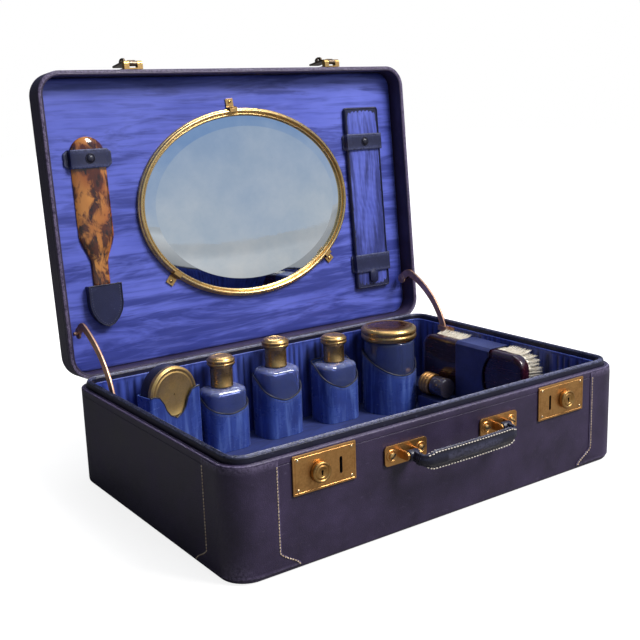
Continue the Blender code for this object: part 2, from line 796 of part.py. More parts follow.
def lid_solid(name, layers, surface, axis):
    """A solid in the lid, from (outline, depth) layers."""
    solid = loft(name, [lid_outline(points, w) for points, w in layers], surface)
    return place(solid, axis)


def lid_shell(axis):
    """Leather-covered lid, built closed with its rim down."""
    rings = [case_ring(WALL, LID_HEIGHT - LID_TOP), case_ring(WALL, 0), case_ring(0.0010, 0)]
    rings += [case_ring(0.0003, 0.0003), case_ring(0, 0.0010)]
    steps = rounding(LID_ROUNDING, 4)
    rings += [case_ring(inset, LID_HEIGHT - rise) for inset, rise in reversed(steps)]
    move = Vector((0, -HINGE.y, RIM_GAP))
    rings = [[tuple(Vector(p) + move) for p in ring] for ring in rings]
    return place(loft("lid_shell", rings, leather()), axis)


def lid_lining(axis):
    """Padded silk panel in the lid."""
    offset = WALL + GAP
    outline = rounded_rectangle(
        CASE_WIDTH - 2 * offset, CASE_DEPTH - 2 * offset, CORNER_RADIUS - offset, 6
    )
    moved = [(x, CASE_DEPTH / 2 - y) for x, y in outline]
    layers = [(moved, LINING_W), (moved, LID_HEIGHT - LID_TOP - GAP)]
    return lid_solid("lid_lining", layers, moire(), axis)


def ellipse(inset):
    """The mirror's outline moved inward, as (u, v)."""
    centre = (MIRROR_U, MIRROR_V)
    return circle(MIRROR_HALF_WIDTH - inset, 44, centre, MIRROR_HALF_HEIGHT - inset)


def mirror(axis):
    """Oval brass frame, bevelled glass and three clips."""
    top = LID_SEAT_W - FRAME_DEPTH
    profile = [(0.0, LID_SEAT_W), (0.0, top + 0.0022), (0.0012, top + 0.0006), (0.0032, top)]
    profile += [(0.0050, top + 0.0008), (FRAME_WIDTH, top + 0.0030), (FRAME_WIDTH, LID_SEAT_W)]
    rings = [lid_outline(ellipse(inset), w) for inset, w in profile]
    frame = place(loft("mirror_frame", rings, brass(), closed=True), axis)
    edge = FRAME_WIDTH + GAP
    plate = material("mirror_silver", (0.80, 0.85, 0.90), 0.03, metallic=1.0)
    layers = [
        (ellipse(edge), LID_SEAT_W),
        (ellipse(edge), LID_SEAT_W - GLASS_EDGE),
        (ellipse(edge + GLASS_BEVEL), LID_SEAT_W - GLASS_THICKNESS),
    ]
    pane = lid_solid("mirror_glass", layers, plate, axis)
    clips = [mirror_clip(name, degrees, axis) for name, degrees in CLIP_ANGLES]
    return frame, pane, clips


def mirror_clip(name, degrees, axis):
    """Bent brass clip: a foot on the lining and a hook over the frame."""
    a = math.radians(degrees)
    edge = Vector((MIRROR_HALF_WIDTH * math.cos(a), MIRROR_HALF_HEIGHT * math.sin(a)))
    out = Vector((math.cos(a) / MIRROR_HALF_WIDTH, math.sin(a) / MIRROR_HALF_HEIGHT)).normalized()
    along = Vector((-out.y, out.x))
    top = LID_SEAT_W - FRAME_DEPTH
    g = 2 * GAP
    m = CLIP_METAL
    side_view = [(CLIP_FOOT, LID_SEAT_W), (g, LID_SEAT_W), (g, top + 0.0004), (-0.0006, top - g)]
    side_view += [(-CLIP_HOOK, top - g), (-CLIP_HOOK, top - g - m), (0.0, top - g - m)]
    side_view += [(g + m, top), (g + m, LID_SEAT_W - m), (CLIP_FOOT, LID_SEAT_W - m)]
    rings = []
    for k in (-1, 1):
        ring = []
        for r, w in side_view:
            p = Vector((MIRROR_U, MIRROR_V)) + edge + out * r + along * (k * CLIP_WIDTH / 2)
            ring.append(tuple(lid_point(p.x, p.y, w)))
        rings.append(ring)
    return place(loft("mirror_clip_" + name, rings, brass()), axis)


def horn_width(v):
    """Width of the shoehorn at a height in the lid."""
    t = (v - HORN_BOTTOM) / (HORN_TOP - HORN_BOTTOM)
    blend = min(1.0, max(0.0, (t - 0.30) / 0.42))
    width = HORN_NECK + (HORN_HEAD - HORN_NECK) * blend * blend * (3 - 2 * blend)
    from_top = (HORN_TOP - v) / (HORN_HEAD / 2)
    if from_top < 1:
        width *= math.sqrt(max(0.02, 1 - (1 - from_top) ** 2))
    return width


def shoehorn(axis):
    """Tortoiseshell shoehorn, a shallow scoop with a narrow neck."""
    surface = material("tortoiseshell", (0.42, 0.20, 0.06), 0.16)
    length = HORN_TOP - HORN_BOTTOM
    shares = [0.0, 0.15, 0.30, 0.40, 0.50, 0.60, 0.70, 0.80, 0.90, 0.93, 0.96, 0.985, 0.998]
    columns = 6
    rings = []
    for share in shares:
        v = HORN_BOTTOM + length * share
        half = horn_width(v) / 2
        arch = HORN_ARCH * half / (HORN_HEAD / 2)
        across = [-1 + 2 * k / columns for k in range(columns + 1)]
        front = []
        back = []
        for c in across:
            w = LID_SEAT_W - HORN_THICKNESS - arch * (1 - c * c)
            front.append(tuple(lid_point(HORN_U + c * half, v, w)))
            back.append(tuple(lid_point(HORN_U + c * half, v, w + HORN_THICKNESS)))
        rings.append(front + back[::-1])
    return place(loft("shoehorn", rings, surface), axis)


def strap_over(name, centre_u, v, reach, wide, crown, flat, arched, axis):
    """Leather strap across the lid: both ends on the lining, the middle over what it holds."""
    seat = LID_SEAT_W
    rise = seat - crown
    stations = [-reach, -flat - 0.0012, -flat, -flat * 0.5, 0.0, flat * 0.5, flat, flat + 0.0012, reach]
    rings = []
    for s in stations:
        over = abs(s) <= flat
        w = crown if over else seat
        if over and arched:
            w = seat - rise * (0.72 + 0.28 * (1 - (s / flat) ** 2))
        half = wide / 2
        if abs(s) == reach:
            half *= 0.62
        low = [(centre_u + s, v - half, w), (centre_u + s, v + half, w)]
        high = [(centre_u + s, v + half, w - LEATHER), (centre_u + s, v - half, w - LEATHER)]
        rings.append([tuple(lid_point(*p)) for p in low + high])
    return place(loft(name, rings, blue_leather()), axis)


def horn_leathers(axis):
    """Strap over the shoehorn's head and pocket for its tip."""
    crown = LID_SEAT_W - HORN_THICKNESS - HORN_ARCH - 0.0004
    flat = HORN_HEAD / 2 + 0.0008
    strap = strap_over("horn_strap", HORN_U, STRAP_V, STRAP_REACH, STRAP_WIDTH, crown, flat, True, axis)
    half = POCKET_WIDTH / 2
    tall = POCKET_TOP - POCKET_BOTTOM

    def shield(inset, top_extra):
        h = half - inset
        base = POCKET_BOTTOM + inset
        right = [(h, POCKET_TOP + top_extra), (h, base + tall * 0.52), (h * 0.90, base + tall * 0.34)]
        right += [(h * 0.66, base + tall * 0.17), (h * 0.34, base + tall * 0.05)]
        left = [(-x, y) for x, y in reversed(right)]
        points = right + [(0.0, base)] + left
        return [(HORN_U + x, y) for x, y in points]

    outside = shield(0.0, 0.0)
    surface = leather()
    layers = [(outside, LID_SEAT_W), (outside, LID_SEAT_W - POCKET_DEPTH)]
    pocket = lid_solid("horn_pocket", layers, surface, axis)
    inside = shield(POCKET_WALL, 0.004)
    layers = [(inside, LID_SEAT_W + 0.001), (inside, LID_SEAT_W - POCKET_DEPTH + POCKET_WALL)]
    cut(pocket, lid_solid("pocket_room", layers, None, axis))
    return strap, pocket


def comb_case(axis):
    """Silk-faced comb case with its two straps."""
    outline = rounded_rectangle(CASE_FACE_WIDTH, CASE_LENGTH, 0.0030, 3, (CASE_U, CASE_V))
    inner = rounded_rectangle(
        CASE_FACE_WIDTH - 0.0050, CASE_LENGTH - 0.0050, 0.0020, 3, (CASE_U, CASE_V)
    )
    face = LID_SEAT_W - CASE_THICK
    layers = [(outline, LID_SEAT_W), (outline, face + 0.0010), (inner, face)]
    case = lid_solid("comb_case", layers, moire(), axis)
    straps = []
    for name, rise, wide in CASE_STRAPS:
        v = CASE_V + rise
        crown = face - 0.0004
        flat = CASE_FACE_WIDTH / 2 + GAP * 2
        reach = flat + 0.0030
        straps.append(strap_over("case_strap_" + name, CASE_U, v, reach, wide, crown, flat, False, axis))
    return case, straps


def hasp(side_name, side, axis):
    """Hasp base with two lugs, and the folding hasp with its staple."""
    lid_front = FRONT_Y - HINGE.y
    face = lid_front - GAP
    centre = side * SLOT_X
    axis_y = lid_front - HASP_AXIS_OUT
    axis_z = RIM_GAP + HASP_AXIS_W
    plate_low = (centre - HASP_WIDTH / 2, face - HASP_PLATE_THICKNESS, RIM_GAP + 0.0008)
    plate_high = (centre + HASP_WIDTH / 2, face, RIM_GAP + 0.0008 + HASP_PLATE_HEIGHT)
    base = block("hasp_base_" + side_name, plate_low, plate_high, brass())
    place(base, axis)
    side_view = lug_outline(HASP_AXIS_OUT - GAP - 0.0003, HASP_KNUCKLE, HASP_KNUCKLE)
    moved = [(face - 0.0003 + y, axis_z + z) for y, z in side_view]
    for k, tag in ((-1, "inner"), (1, "outer")):
        x0 = centre + k * HASP_WIDTH / 2
        x1 = centre + k * (HASP_WIDTH / 2 - HASP_LUG)
        lug = prism("hasp_lug_{}_{}".format(side_name, tag), moved, min(x0, x1), max(x0, x1), None, "X")
        add(base, place(lug, axis))
    half = HASP_WIDTH / 2 - HASP_LUG / 2
    pin = rod("hasp_pin_" + side_name, HASP_PIN, centre - half, centre + half, None, "X", (axis_y, axis_z), 12)
    add(base, place(pin, axis))

    # The hasp is built hanging from its pin, as it does on a closed case, and then folded back.
    frame = empty("hasp_axis_" + side_name, axis, (centre, axis_y, axis_z), (-HASP_FOLD, 0, 0))
    inside = HASP_AXIS_OUT - GAP - LOCK_THICKNESS - 0.0006
    outside = inside - HASP_LEAF_THICKNESS
    length = BASE_HEIGHT + axis_z - HASP_LEAF_END
    knuckle_half = HASP_WIDTH / 2 - HASP_LUG - GAP
    outline = rounded_rectangle(HASP_LEAF_WIDTH, length - 0.0040, 0.0020, 3, (0, -0.0040 - (length - 0.0040) / 2))
    leaf = prism("hasp_" + side_name, outline, outside, inside, brass(), "Y")
    neck = block("hasp_neck_" + side_name, (-knuckle_half, outside, -0.0060), (knuckle_half, inside, -0.0012))
    ring = tube(
        "hasp_knuckle_" + side_name, HASP_KNUCKLE, HASP_BORE, -knuckle_half, knuckle_half, None, (0, 0)
    )
    staple_z = SLOT_Z - BASE_HEIGHT - axis_z
    staple = staple_outline(staple_z, inside)
    bow = prism("hasp_staple_" + side_name, staple, -STAPLE_THICKNESS / 2, STAPLE_THICKNESS / 2, None, "X")
    for tool in (neck, ring, bow):
        place(tool, frame)
        add(leaf, tool)
    eye = rod("staple_eye_" + side_name, 0.0016, -0.002, 0.002, None, "X", (inside + 0.0030, staple_z), 10)
    cut(leaf, place(eye, frame))
    place(leaf, frame)
    return base, leaf


def staple_outline(centre_z, start):
    """Side view of the staple: a low round arch, as (y, z)."""
    half = STAPLE_LENGTH / 2
    points = [(start - 0.0005, centre_z - half), (start + STAPLE_RISE - 0.0030, centre_z - half)]
    for a in arc_turns(-90, 90, 6):
        y = start + STAPLE_RISE - 0.0030 + 0.0030 * math.cos(a)
        points.append((y, centre_z + half * math.sin(a)))
    points = points[:1] + points[2:]
    points.append((start - 0.0005, centre_z + half))
    return points


def lid_turn(angle):
    """Rotation of the lid when it is open by an angle."""
    return Matrix.Rotation(-angle, 3, "X")


def stay_line(steps=12):
    """Centre line of a stay in its own frame with the lid closed.

    It is the path of the fixed guide as the stay sees it while the lid opens, so the stay always
    runs through the guide. The first stretch leads from the pivot to that path.
    """
    pivot = lid_point(0, STAY_PIVOT_V, STAY_PIVOT_W)
    guide = Vector((0, GUIDE_Y, GUIDE_Z)) - HINGE
    path = []
    for k in range(steps + 1):
        a = LID_OPEN * k / steps
        turned_back = Matrix.Rotation(a * (1 + STAY_RATIO), 3, "X")
        path.append(turned_back @ (guide - lid_turn(a) @ pivot))
    lead_tangent = (path[0] - path[1]).normalized()
    lead = path[0] + lead_tangent * 0.0075
    start = Vector((0, 0, 0))
    curve = []
    for k in range(5):
        t = k / 5
        curve.append(start * (1 - t) ** 2 + lead * (2 * t * (1 - t)) + path[0] * t * t)
    tail = (path[-1] - path[-2]).normalized() * STAY_TAIL
    return curve + path + [path[-1] + tail]


def offset_line(points, distance):
    """A line moved sideways in the YZ plane."""
    moved = []
    for k, p in enumerate(points):
        a = points[max(0, k - 1)]
        b = points[min(len(points) - 1, k + 1)]
        tangent = (b - a).normalized()
        moved.append((p.y - tangent.z * distance, p.z + tangent.y * distance))
    return moved


def stay(side_name, side, axis, shell):
    """Curved brass stay, its eye on a stud in the lid's wall and its head below the guide."""
    pivot = lid_point(0, STAY_PIVOT_V, STAY_PIVOT_W)
    frame = empty(
        "stay_axis_" + side_name, axis, (0, pivot.y, pivot.z), (-STAY_RATIO * LID_OPEN, 0, 0)
    )
    line = stay_line()
    half = STAY_WIDTH / 2
    outline = offset_line(line, half) + offset_line(line, -half)[::-1]
    outer_x = side * (STAY_X + STAY_THICKNESS)
    inner_x = side * STAY_X
    low, high = min(inner_x, outer_x), max(inner_x, outer_x)
    strip = prism("stay_" + side_name, outline, low, high, brass(), "X")
    eye = rod("stay_eye_" + side_name, STAY_EYE_RADIUS, low, high, None, "X", (0, 0), 20)
    wall_x = CASE_WIDTH / 2 - WALL
    ends = sorted((inner_x, side * (wall_x + STAY_STUD_DEPTH - 0.0003)))
    stud = rod("stay_stud_" + side_name, STAY_STUD_RADIUS, ends[0], ends[1], None, "X", (0, 0), 12)
    tangent = (line[-1] - line[-2]).normalized()
    back = line[-1] - tangent * STAY_HEAD_LENGTH
    head_line = [back, line[-1]]
    wide = STAY_HEAD_WIDTH / 2
    head_outline = offset_line(head_line, wide) + offset_line(head_line, -wide)[::-1]
    head = prism("stay_head_" + side_name, head_outline, low, high, None, "X")
    for tool in (eye, stud, head):
        place(tool, frame)
        add(strip, tool)
    place(strip, frame)
    hole_ends = sorted((side * (wall_x - 0.002), side * (wall_x + STAY_STUD_DEPTH)))
    hole = rod(
        "stud_hole_" + side_name, STAY_STUD_RADIUS + GAP, hole_ends[0], hole_ends[1], None, "X",
        (pivot.y, pivot.z), 12
    )
    cut(shell, place(hole, axis))
    return strip


def stay_guide(side_name, side):
    """Brass keeper on the tray's wall that the stay slides through."""
    wall = CASE_WIDTH / 2 - TRAY_OFFSET - TRAY_WALL - GAP
    room_low = STAY_X - GUIDE_SLACK_THICKNESS
    room_high = STAY_X + STAY_THICKNESS + GUIDE_SLACK_THICKNESS
    outer_low = room_low - GUIDE_METAL
    half = STAY_WIDTH / 2 + GUIDE_SLACK_WIDTH
    y0 = GUIDE_Y - half - GUIDE_METAL
    y1 = GUIDE_Y + half + GUIDE_METAL
    z0 = GUIDE_Z - GUIDE_HEIGHT / 2
    z1 = GUIDE_Z + GUIDE_HEIGHT / 2
    thin = 0.0004
    outline = [(outer_low, y0), (wall - thin, y0), (wall - thin, y0 - GUIDE_FLANGE), (wall, y0 - GUIDE_FLANGE)]
    outline += [(wall, y1), (outer_low, y1)]
    guide = prism("stay_guide_" + side_name, [(side * x, y) for x, y in outline], z0, z1, brass())
    room_top = min(room_high, wall - thin)
    room = [(room_low, GUIDE_Y - half), (room_top, GUIDE_Y - half), (room_top, GUIDE_Y + half)]
    room += [(room_low, GUIDE_Y + half)]
    moved = [(side * x, y) for x, y in room]
    cut(guide, prism("guide_room_" + side_name, moved, z0 - 0.001, z1 + 0.001, None))
    return guide


def grown(outline, centre, distance):
    """A convex outline moved out from its centre by about a distance."""
    moved = []
    for x, y in outline:
        away = Vector((x - centre[0], y - centre[1]))
        scale = (away.length + distance) / away.length
        moved.append((centre[0] + away.x * scale, centre[1] + away.y * scale))
    return moved


def on_circle(outline, centre, radius):
    """The points of an outline pulled to a circle along their own directions."""
    moved = []
    for x, y in outline:
        away = Vector((x - centre[0], y - centre[1])).normalized() * radius
        moved.append((centre[0] + away.x, centre[1] + away.y))
    return moved


def scooped(name, outside, inside, centre, low, high):
    """Leather sleeve round a bottle, whose top edge dips at the front."""

    def edge(outline):
        ring = []
        for x, y in outline:
            away = Vector((x - centre[0], y - centre[1])).normalized()
            frontness = max(0.0, -away.y)
            ring.append((x, y, high - (high - low) * frontness ** 1.4))
        return ring

    bottom = FLOOR_Z + GAP
    rings = [at_height(outside, bottom), edge(outside), edge(inside), at_height(inside, bottom)]
    return loft(name, rings, blue_leather(), closed=True)


def bottle_outline(inset, centre):
    """Plan of a bottle, moved inward."""
    return rounded_rectangle(
        BOTTLE_WIDTH - 2 * inset, BOTTLE_DEPTH - 2 * inset, BOTTLE_CORNER - inset, 3, centre
    )


def bottle(x, name, shoulder, cap_top, rim_low, rim_high):
    """Glass bottle, its brass cap and its leather holder."""
    centre = (x, BOTTLE_Y)
    bottom = FLOOR_Z + GAP
    neck_top = cap_top - CAP_TOP_THICKNESS - GAP - 0.0006
    outside = bottle_outline(0, centre)
    neck = on_circle(outside, centre, NECK_RADIUS)
    bore = on_circle(outside, centre, NECK_BORE)
    rings = [
        at_height(bottle_outline(0.0022, centre), bottom),
        at_height(bottle_outline(0.0005, centre), bottom + 0.0008),
        at_height(outside, bottom + 0.0026),
        at_height(outside, shoulder - 0.0042),
        at_height(bottle_outline(0.0012, centre), shoulder - 0.0016),
        at_height(bottle_outline(0.0040, centre), shoulder),
        at_height(neck, shoulder + 0.0008),
        at_height(neck, neck_top),
        at_height(bore, neck_top),
        at_height(bore, shoulder - BOTTLE_GLASS),
        at_height(bottle_outline(BOTTLE_GLASS + 0.0020, centre), shoulder - BOTTLE_GLASS - 0.0012),
        at_height(bottle_outline(BOTTLE_GLASS, centre), shoulder - 0.0060),
        at_height(bottle_outline(BOTTLE_GLASS, centre), bottom + 0.0048),
    ]
    vessel = loft("bottle_" + name, rings, glass())
    start = shoulder + CAP_LIFT
    inner = NECK_RADIUS + 0.0004
    profile = cap_profile(CAP_RADIUS, CAP_BEAD, start, cap_top, inner, cap_top - CAP_TOP_THICKNESS)
    cap = turned("bottle_cap_" + name, profile, brass())
    place(cap, None, (x, BOTTLE_Y, 0))
    sleeve_inside = grown(outside, centre, FIT)
    sleeve_outside = grown(outside, centre, FIT + LEATHER)
    holder = scooped("bottle_holder_" + name, sleeve_outside, sleeve_inside, centre, rim_low, rim_high)
    return vessel, cap, holder


def cap_profile(radius, bead, start, top, inner, roof):
    """Section of a turned cap: collar, two beads under a low dome, and the hollow inside."""
    outside = [(inner, start), (radius, start), (radius - 0.0005, start + 0.0014)]
    outside += [(radius - 0.0005, top - 0.0090)]
    for low in (top - 0.0085, top - 0.0050):
        outside += [(radius + bead, low + 0.0011), (radius + bead, low + 0.0019)]
        outside += [(radius - 0.0002, low + 0.0030)]
    outside += [(radius - 0.0030, top)]
    return list(reversed(outside)) + [(inner, roof)]


def jar(x):
    """Round glass jar, its double-ribbed brass lid and its leather holder."""
    bottom = FLOOR_Z + GAP
    neck = JAR_RADIUS - 0.0022
    bore = neck - 0.0024
    roof = JAR_LID_TOP - 0.0020
    neck_top = roof - GAP
    profile = [(JAR_RADIUS - 0.0020, bottom), (JAR_RADIUS, bottom + 0.0020)]
    profile += [(JAR_RADIUS, JAR_SHOULDER - JAR_NECK_DROP), (neck, JAR_SHOULDER), (neck, neck_top)]
    profile += [(bore, neck_top), (bore, JAR_SHOULDER), (bore, bottom + 0.0050)]
    vessel = place(turned("jar_glass", profile, glass(), JAR_STEPS), None, (x, JAR_Y, 0))
    start = JAR_SHOULDER + 0.0008
    inner = neck + 0.0004
    outer = JAR_LID_RADIUS
    outside = [(inner, start), (outer - 0.0012, start)]
    span = (JAR_LID_TOP - 0.0016 - start - 0.0006) / 2
    for k in (0, 1):
        low = start + 0.0006 + k * span
        outside += [(outer, low + span * 0.25), (outer, low + span * 0.60)]
        outside += [(outer - 0.0012, low + span * 0.92)]
    outside += [(outer - 0.0022, JAR_LID_TOP - 0.0006), (outer - 0.0050, JAR_LID_TOP)]
    section = list(reversed(outside)) + [(inner, roof)]
    lid = place(turned("jar_lid", section, brass(), JAR_STEPS), None, (x, JAR_Y, 0))
    centre = (x, JAR_Y)
    inside = circle(JAR_RADIUS + FIT, JAR_STEPS, centre)
    outside = circle(JAR_RADIUS + FIT + LEATHER, JAR_STEPS, centre)
    holder = scooped("jar_holder", outside, inside, centre, JAR_RIM_LOW, JAR_RIM_HIGH)
    return vessel, lid, holder


def round_box(x):
    """Round leather box that stands on its edge, its gilt lid, and the holder with an ogee notch."""
    frame = empty("box_frame", None, (x, BOX_Y, 0), (0, 0, BOX_TURN))
    centre_z = BOX_SEAT_Z + GAP + BOX_RADIUS
    half = BOX_THICKNESS / 2
    seam = half - BOX_LID_THICKNESS
    inner = BOX_RADIUS - BOX_WALL
    neck = inner - 0.0012

    # Both are turned about their own Z axis, which points out of the holder's front.
    profile = [(BOX_RADIUS - 0.0012, -half), (BOX_RADIUS, -half + 0.0012), (BOX_RADIUS, seam - GAP)]
    profile += [(inner, seam - GAP), (inner, seam + 0.0030), (neck, seam + 0.0030), (neck, -half + 0.0020)]
    body = turned("round_box", profile, leather(), JAR_STEPS)
    roof = half - 0.0018
    lid_profile = [(BOX_RADIUS - 0.0042, half - 0.0008)]
    lid_profile += [(BOX_RADIUS - 0.0032, half), (BOX_RADIUS - 0.0014, half), (BOX_RADIUS, half - 0.0014)]
    lid_profile += [(BOX_RADIUS, seam), (inner + GAP, seam), (inner + GAP, roof)]
    lid = turned("round_box_lid", lid_profile, brass(), JAR_STEPS)
    for solid in (body, lid):
        place(solid, frame, (0, 0, centre_z), (math.radians(90), 0, 0))

    wide = BOX_HOLDER_WIDTH / 2
    room = half + FIT
    deep = room + LEATHER
    outline = rounded_rectangle(2 * wide, 2 * deep, 0.0030, 3)
    holder = prism("round_box_holder", outline, FLOOR_Z + GAP, BOX_HOLDER_TOP, blue_leather())
    pocket = rounded_rectangle(2 * (wide - LEATHER), 2 * room, 0.0016, 3)
    tools = [prism("box_room", pocket, BOX_SEAT_Z, BOX_HOLDER_TOP + 0.005, None)]
    notch = ogee_notch()
    tools.append(prism("box_notch", notch, -deep - 0.002, -room + 0.001, None, "Y"))
    for tool in tools:
        place(tool, frame)
        cut(holder, tool)
    place(holder, frame)
    return body, lid, holder


def ogee_notch():
    """Outline of the notch: round shoulders that sweep into a narrow foot, as (x, z)."""
    depth = BOX_HOLDER_TOP - NOTCH_BOTTOM
    shares = ((1.0, 0.0), (0.78, 0.07), (0.58, 0.34), (0.47, 0.62), (0.30, 0.84), (0.0, 1.0))
    right = [(NOTCH_HALF_WIDTH * a, BOX_HOLDER_TOP - depth * b) for a, b in shares]
    left = [(-x, z) for x, z in reversed(right[:-1])]
    top = BOX_HOLDER_TOP + 0.005
    return [(NOTCH_HALF_WIDTH, top)] + right + left + [(-NOTCH_HALF_WIDTH, top)]


def brush(name, span):
    """Wooden brush back on edge with its bristles toward the side wall."""
    span = (REST_BACK + span[0], REST_BACK + span[1])
    bottom = REST_TOP + 2 * GAP
    centre = ((span[0] + span[1]) / 2, bottom + BRUSH_HEIGHT / 2)
    length = span[1] - span[0]
    right = BRUSH_LEFT + BRUSH_BACK_THICKNESS
    crown = 0.0030

    def ring(inset, x):
        outline = rounded_rectangle(length - 2 * inset, BRUSH_HEIGHT - 2 * inset, BRUSH_CORNER - inset, 5, centre)
        return [(x, y, z) for y, z in outline]

    wood = material("oxblood_wood", (0.050, 0.010, 0.016), 0.22)
    layers = [ring(crown * 1.3, BRUSH_LEFT), ring(crown * 0.35, BRUSH_LEFT + crown * 0.35)]
    layers += [ring(0.0, BRUSH_LEFT + crown), ring(0.0, right - 0.0015), ring(0.0015, right)]
    back = loft("brush_back_" + name, layers, wood)
    hair = material("white_bristle", (0.80, 0.76, 0.68), 0.7)
    tips = right + GAP + BRISTLE_LENGTH
    layers = [ring(BRISTLE_INSET + 0.0010, right + GAP), ring(BRISTLE_INSET - 0.0008, tips - 0.0010)]
    layers += [ring(BRISTLE_INSET + 0.0006, tips)]
    bristles = loft("brush_bristles_" + name, layers, hair)
    return back, bristles


def brush_furniture():
    """Leather rest under the brushes and the saddle that holds both."""
    outline = [(REST_LEFT, REST_FRONT), (REST_RIGHT, REST_FRONT), (REST_RIGHT, REST_BACK)]
    outline += [(REST_STEP_X, REST_BACK), (REST_STEP_X, REST_STEP_Y), (REST_LEFT, REST_STEP_Y)]
    rest = prism("brush_rest", outline, FLOOR_Z + GAP, REST_TOP, blue_leather())
    inner_left = BRUSH_LEFT - FIT
    inner_right = BRUSH_LEFT + BRUSH_BACK_THICKNESS + GAP + BRISTLE_LENGTH + FIT
    inner_top = REST_TOP + 2 * GAP + BRUSH_HEIGHT + FIT
    left = inner_left - SADDLE_LEATHER
    right = inner_right + SADDLE_LEATHER
    top = inner_top + SADDLE_LEATHER
    foot = REST_TOP + GAP
    section = [(left, foot), (inner_left, foot), (inner_left, inner_top - 0.0015), (inner_left + 0.0015, inner_top)]
    section += [(inner_right - 0.0015, inner_top), (inner_right, inner_top - 0.0015), (inner_right, foot)]
    section += [(right, foot), (right, top - 0.0030), (right - 0.0030, top), (left + 0.0030, top)]
    section += [(left, top - 0.0030)]
    start = REST_BACK + SADDLE[0]
    saddle = prism("brush_saddle", section, start, REST_BACK + SADDLE[1], blue_leather(), "Y")
    bite_radius = 0.034
    bite_centre = (start - bite_radius + 0.0085, (foot + top) / 2)
    bite = rod("saddle_bite", bite_radius, left - 0.002, inner_left + 0.0002, None, "X", bite_centre, 40)
    cut(saddle, bite)
    return rest, saddle


def small_jar():
    """Small glass jar on its side with a three-ribbed brass cap."""
    z = REST_TOP + GAP + SMALL_CAP_RADIUS
    mouth = SMALL_LENGTH + SMALL_CAP_LENGTH - 0.0014 - GAP
    profile = [(SMALL_RADIUS - 0.0012, 0), (SMALL_RADIUS, 0.0012), (SMALL_RADIUS, SMALL_LENGTH - 0.0006)]
    profile += [(SMALL_NECK, SMALL_LENGTH), (SMALL_NECK, mouth), (SMALL_NECK - 0.0018, mouth)]
    profile += [(SMALL_NECK - 0.0018, 0.0024)]
    vessel = turned("small_jar", profile, glass(), SMALL_STEPS)
    inner = SMALL_NECK + 0.0004
    start = SMALL_LENGTH + 0.0005
    end = SMALL_LENGTH + SMALL_CAP_LENGTH
    ribs = [(inner, start), (SMALL_CAP_RADIUS - 0.0010, start)]
    span = (end - start - 0.0020) / 3
    for k in range(3):
        low = start + 0.0008 + k * span
        ribs += [(SMALL_CAP_RADIUS, low + span * 0.30), (SMALL_CAP_RADIUS, low + span * 0.60)]
        ribs += [(SMALL_CAP_RADIUS - 0.0010, low + span * 0.95)]
    ribs.append((SMALL_CAP_RADIUS - 0.0030, end))
    roof = end - 0.0014
    section = list(reversed(ribs)) + [(inner, roof)]
    cap = turned("small_jar_cap", section, brass(), SMALL_STEPS)
    for solid in (vessel, cap):
        place(solid, None, (SMALL_X, SMALL_Y, z), (math.radians(-90), 0, 0))
    return vessel, cap


SIDES = (("left", -1), ("right", 1))


def build():
    """Makes the whole case."""
    for old in list(bpy.data.objects):
        bpy.data.objects.remove(old, do_unlink=True)
    axis = empty("lid_axis", None, HINGE, (-LID_OPEN, 0, 0))
    shell = base_shell()
    rim = base_rim()
    base_lining()
    lid = lid_shell(axis)
    for side_name, side in SIDES:
        corner("corner_" + side_name, side)
        hinge_halves(side_name, side, axis)
        cut(shell, knuckle_recess("base_recess_" + side_name, side))
        closed_recess = knuckle_recess("lid_recess_" + side_name, side)
        cut(lid, place(closed_recess, axis, tuple(-HINGE)))
        lock(side_name, side, shell, rim)
        handle_mount(side_name, side)
        stay_guide(side_name, side)
        hasp(side_name, side, axis)
        stay(side_name, side, axis, lid)
    handle_grip()
    lid_lining(axis)
    mirror(axis)
    shoehorn(axis)
    horn_leathers(axis)
    comb_case(axis)
    places = row_places()
    for x, values in zip(places[1:4], BOTTLES):
        bottle(x, *values)
    jar(places[4])
    round_box(places[0])
    brush("rear", REAR_BRUSH)
    brush("front", FRONT_BRUSH)
    brush_furniture()
    small_jar()


if __name__ == "__main__":
    build()
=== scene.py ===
"""Leather dressing case with fitted toilet articles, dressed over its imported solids.

Every new piece is a surface worked out as whole numpy arrays: a profile carried round a plan, a section
carried along a path, or a small shape repeated along a seam. Metres, +Z up, in the frame of the solids.
"""

import logging
import math
from dataclasses import dataclass, replace
from enum import Enum
from typing import Any, Sequence

import bpy
import numpy as np
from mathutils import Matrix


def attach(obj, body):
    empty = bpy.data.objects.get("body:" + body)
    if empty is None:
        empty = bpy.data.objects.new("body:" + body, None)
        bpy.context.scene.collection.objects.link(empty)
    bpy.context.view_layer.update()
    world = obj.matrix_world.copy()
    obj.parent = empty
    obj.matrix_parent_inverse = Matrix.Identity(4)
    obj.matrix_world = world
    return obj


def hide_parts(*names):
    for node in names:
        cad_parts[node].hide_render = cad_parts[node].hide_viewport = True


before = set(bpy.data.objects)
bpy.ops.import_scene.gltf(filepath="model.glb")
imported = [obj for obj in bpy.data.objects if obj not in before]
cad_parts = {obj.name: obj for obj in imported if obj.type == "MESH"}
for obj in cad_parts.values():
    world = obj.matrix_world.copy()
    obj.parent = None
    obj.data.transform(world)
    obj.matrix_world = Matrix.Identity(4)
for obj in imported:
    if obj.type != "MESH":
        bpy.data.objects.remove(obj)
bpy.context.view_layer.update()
NODES: dict[str, bpy.types.Object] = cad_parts

LOG = logging.getLogger("dressing_case")
Array = np.ndarray
Colour = tuple[float, float, float]
Object = bpy.types.Object
Material = bpy.types.Material
Socket = bpy.types.NodeSocket

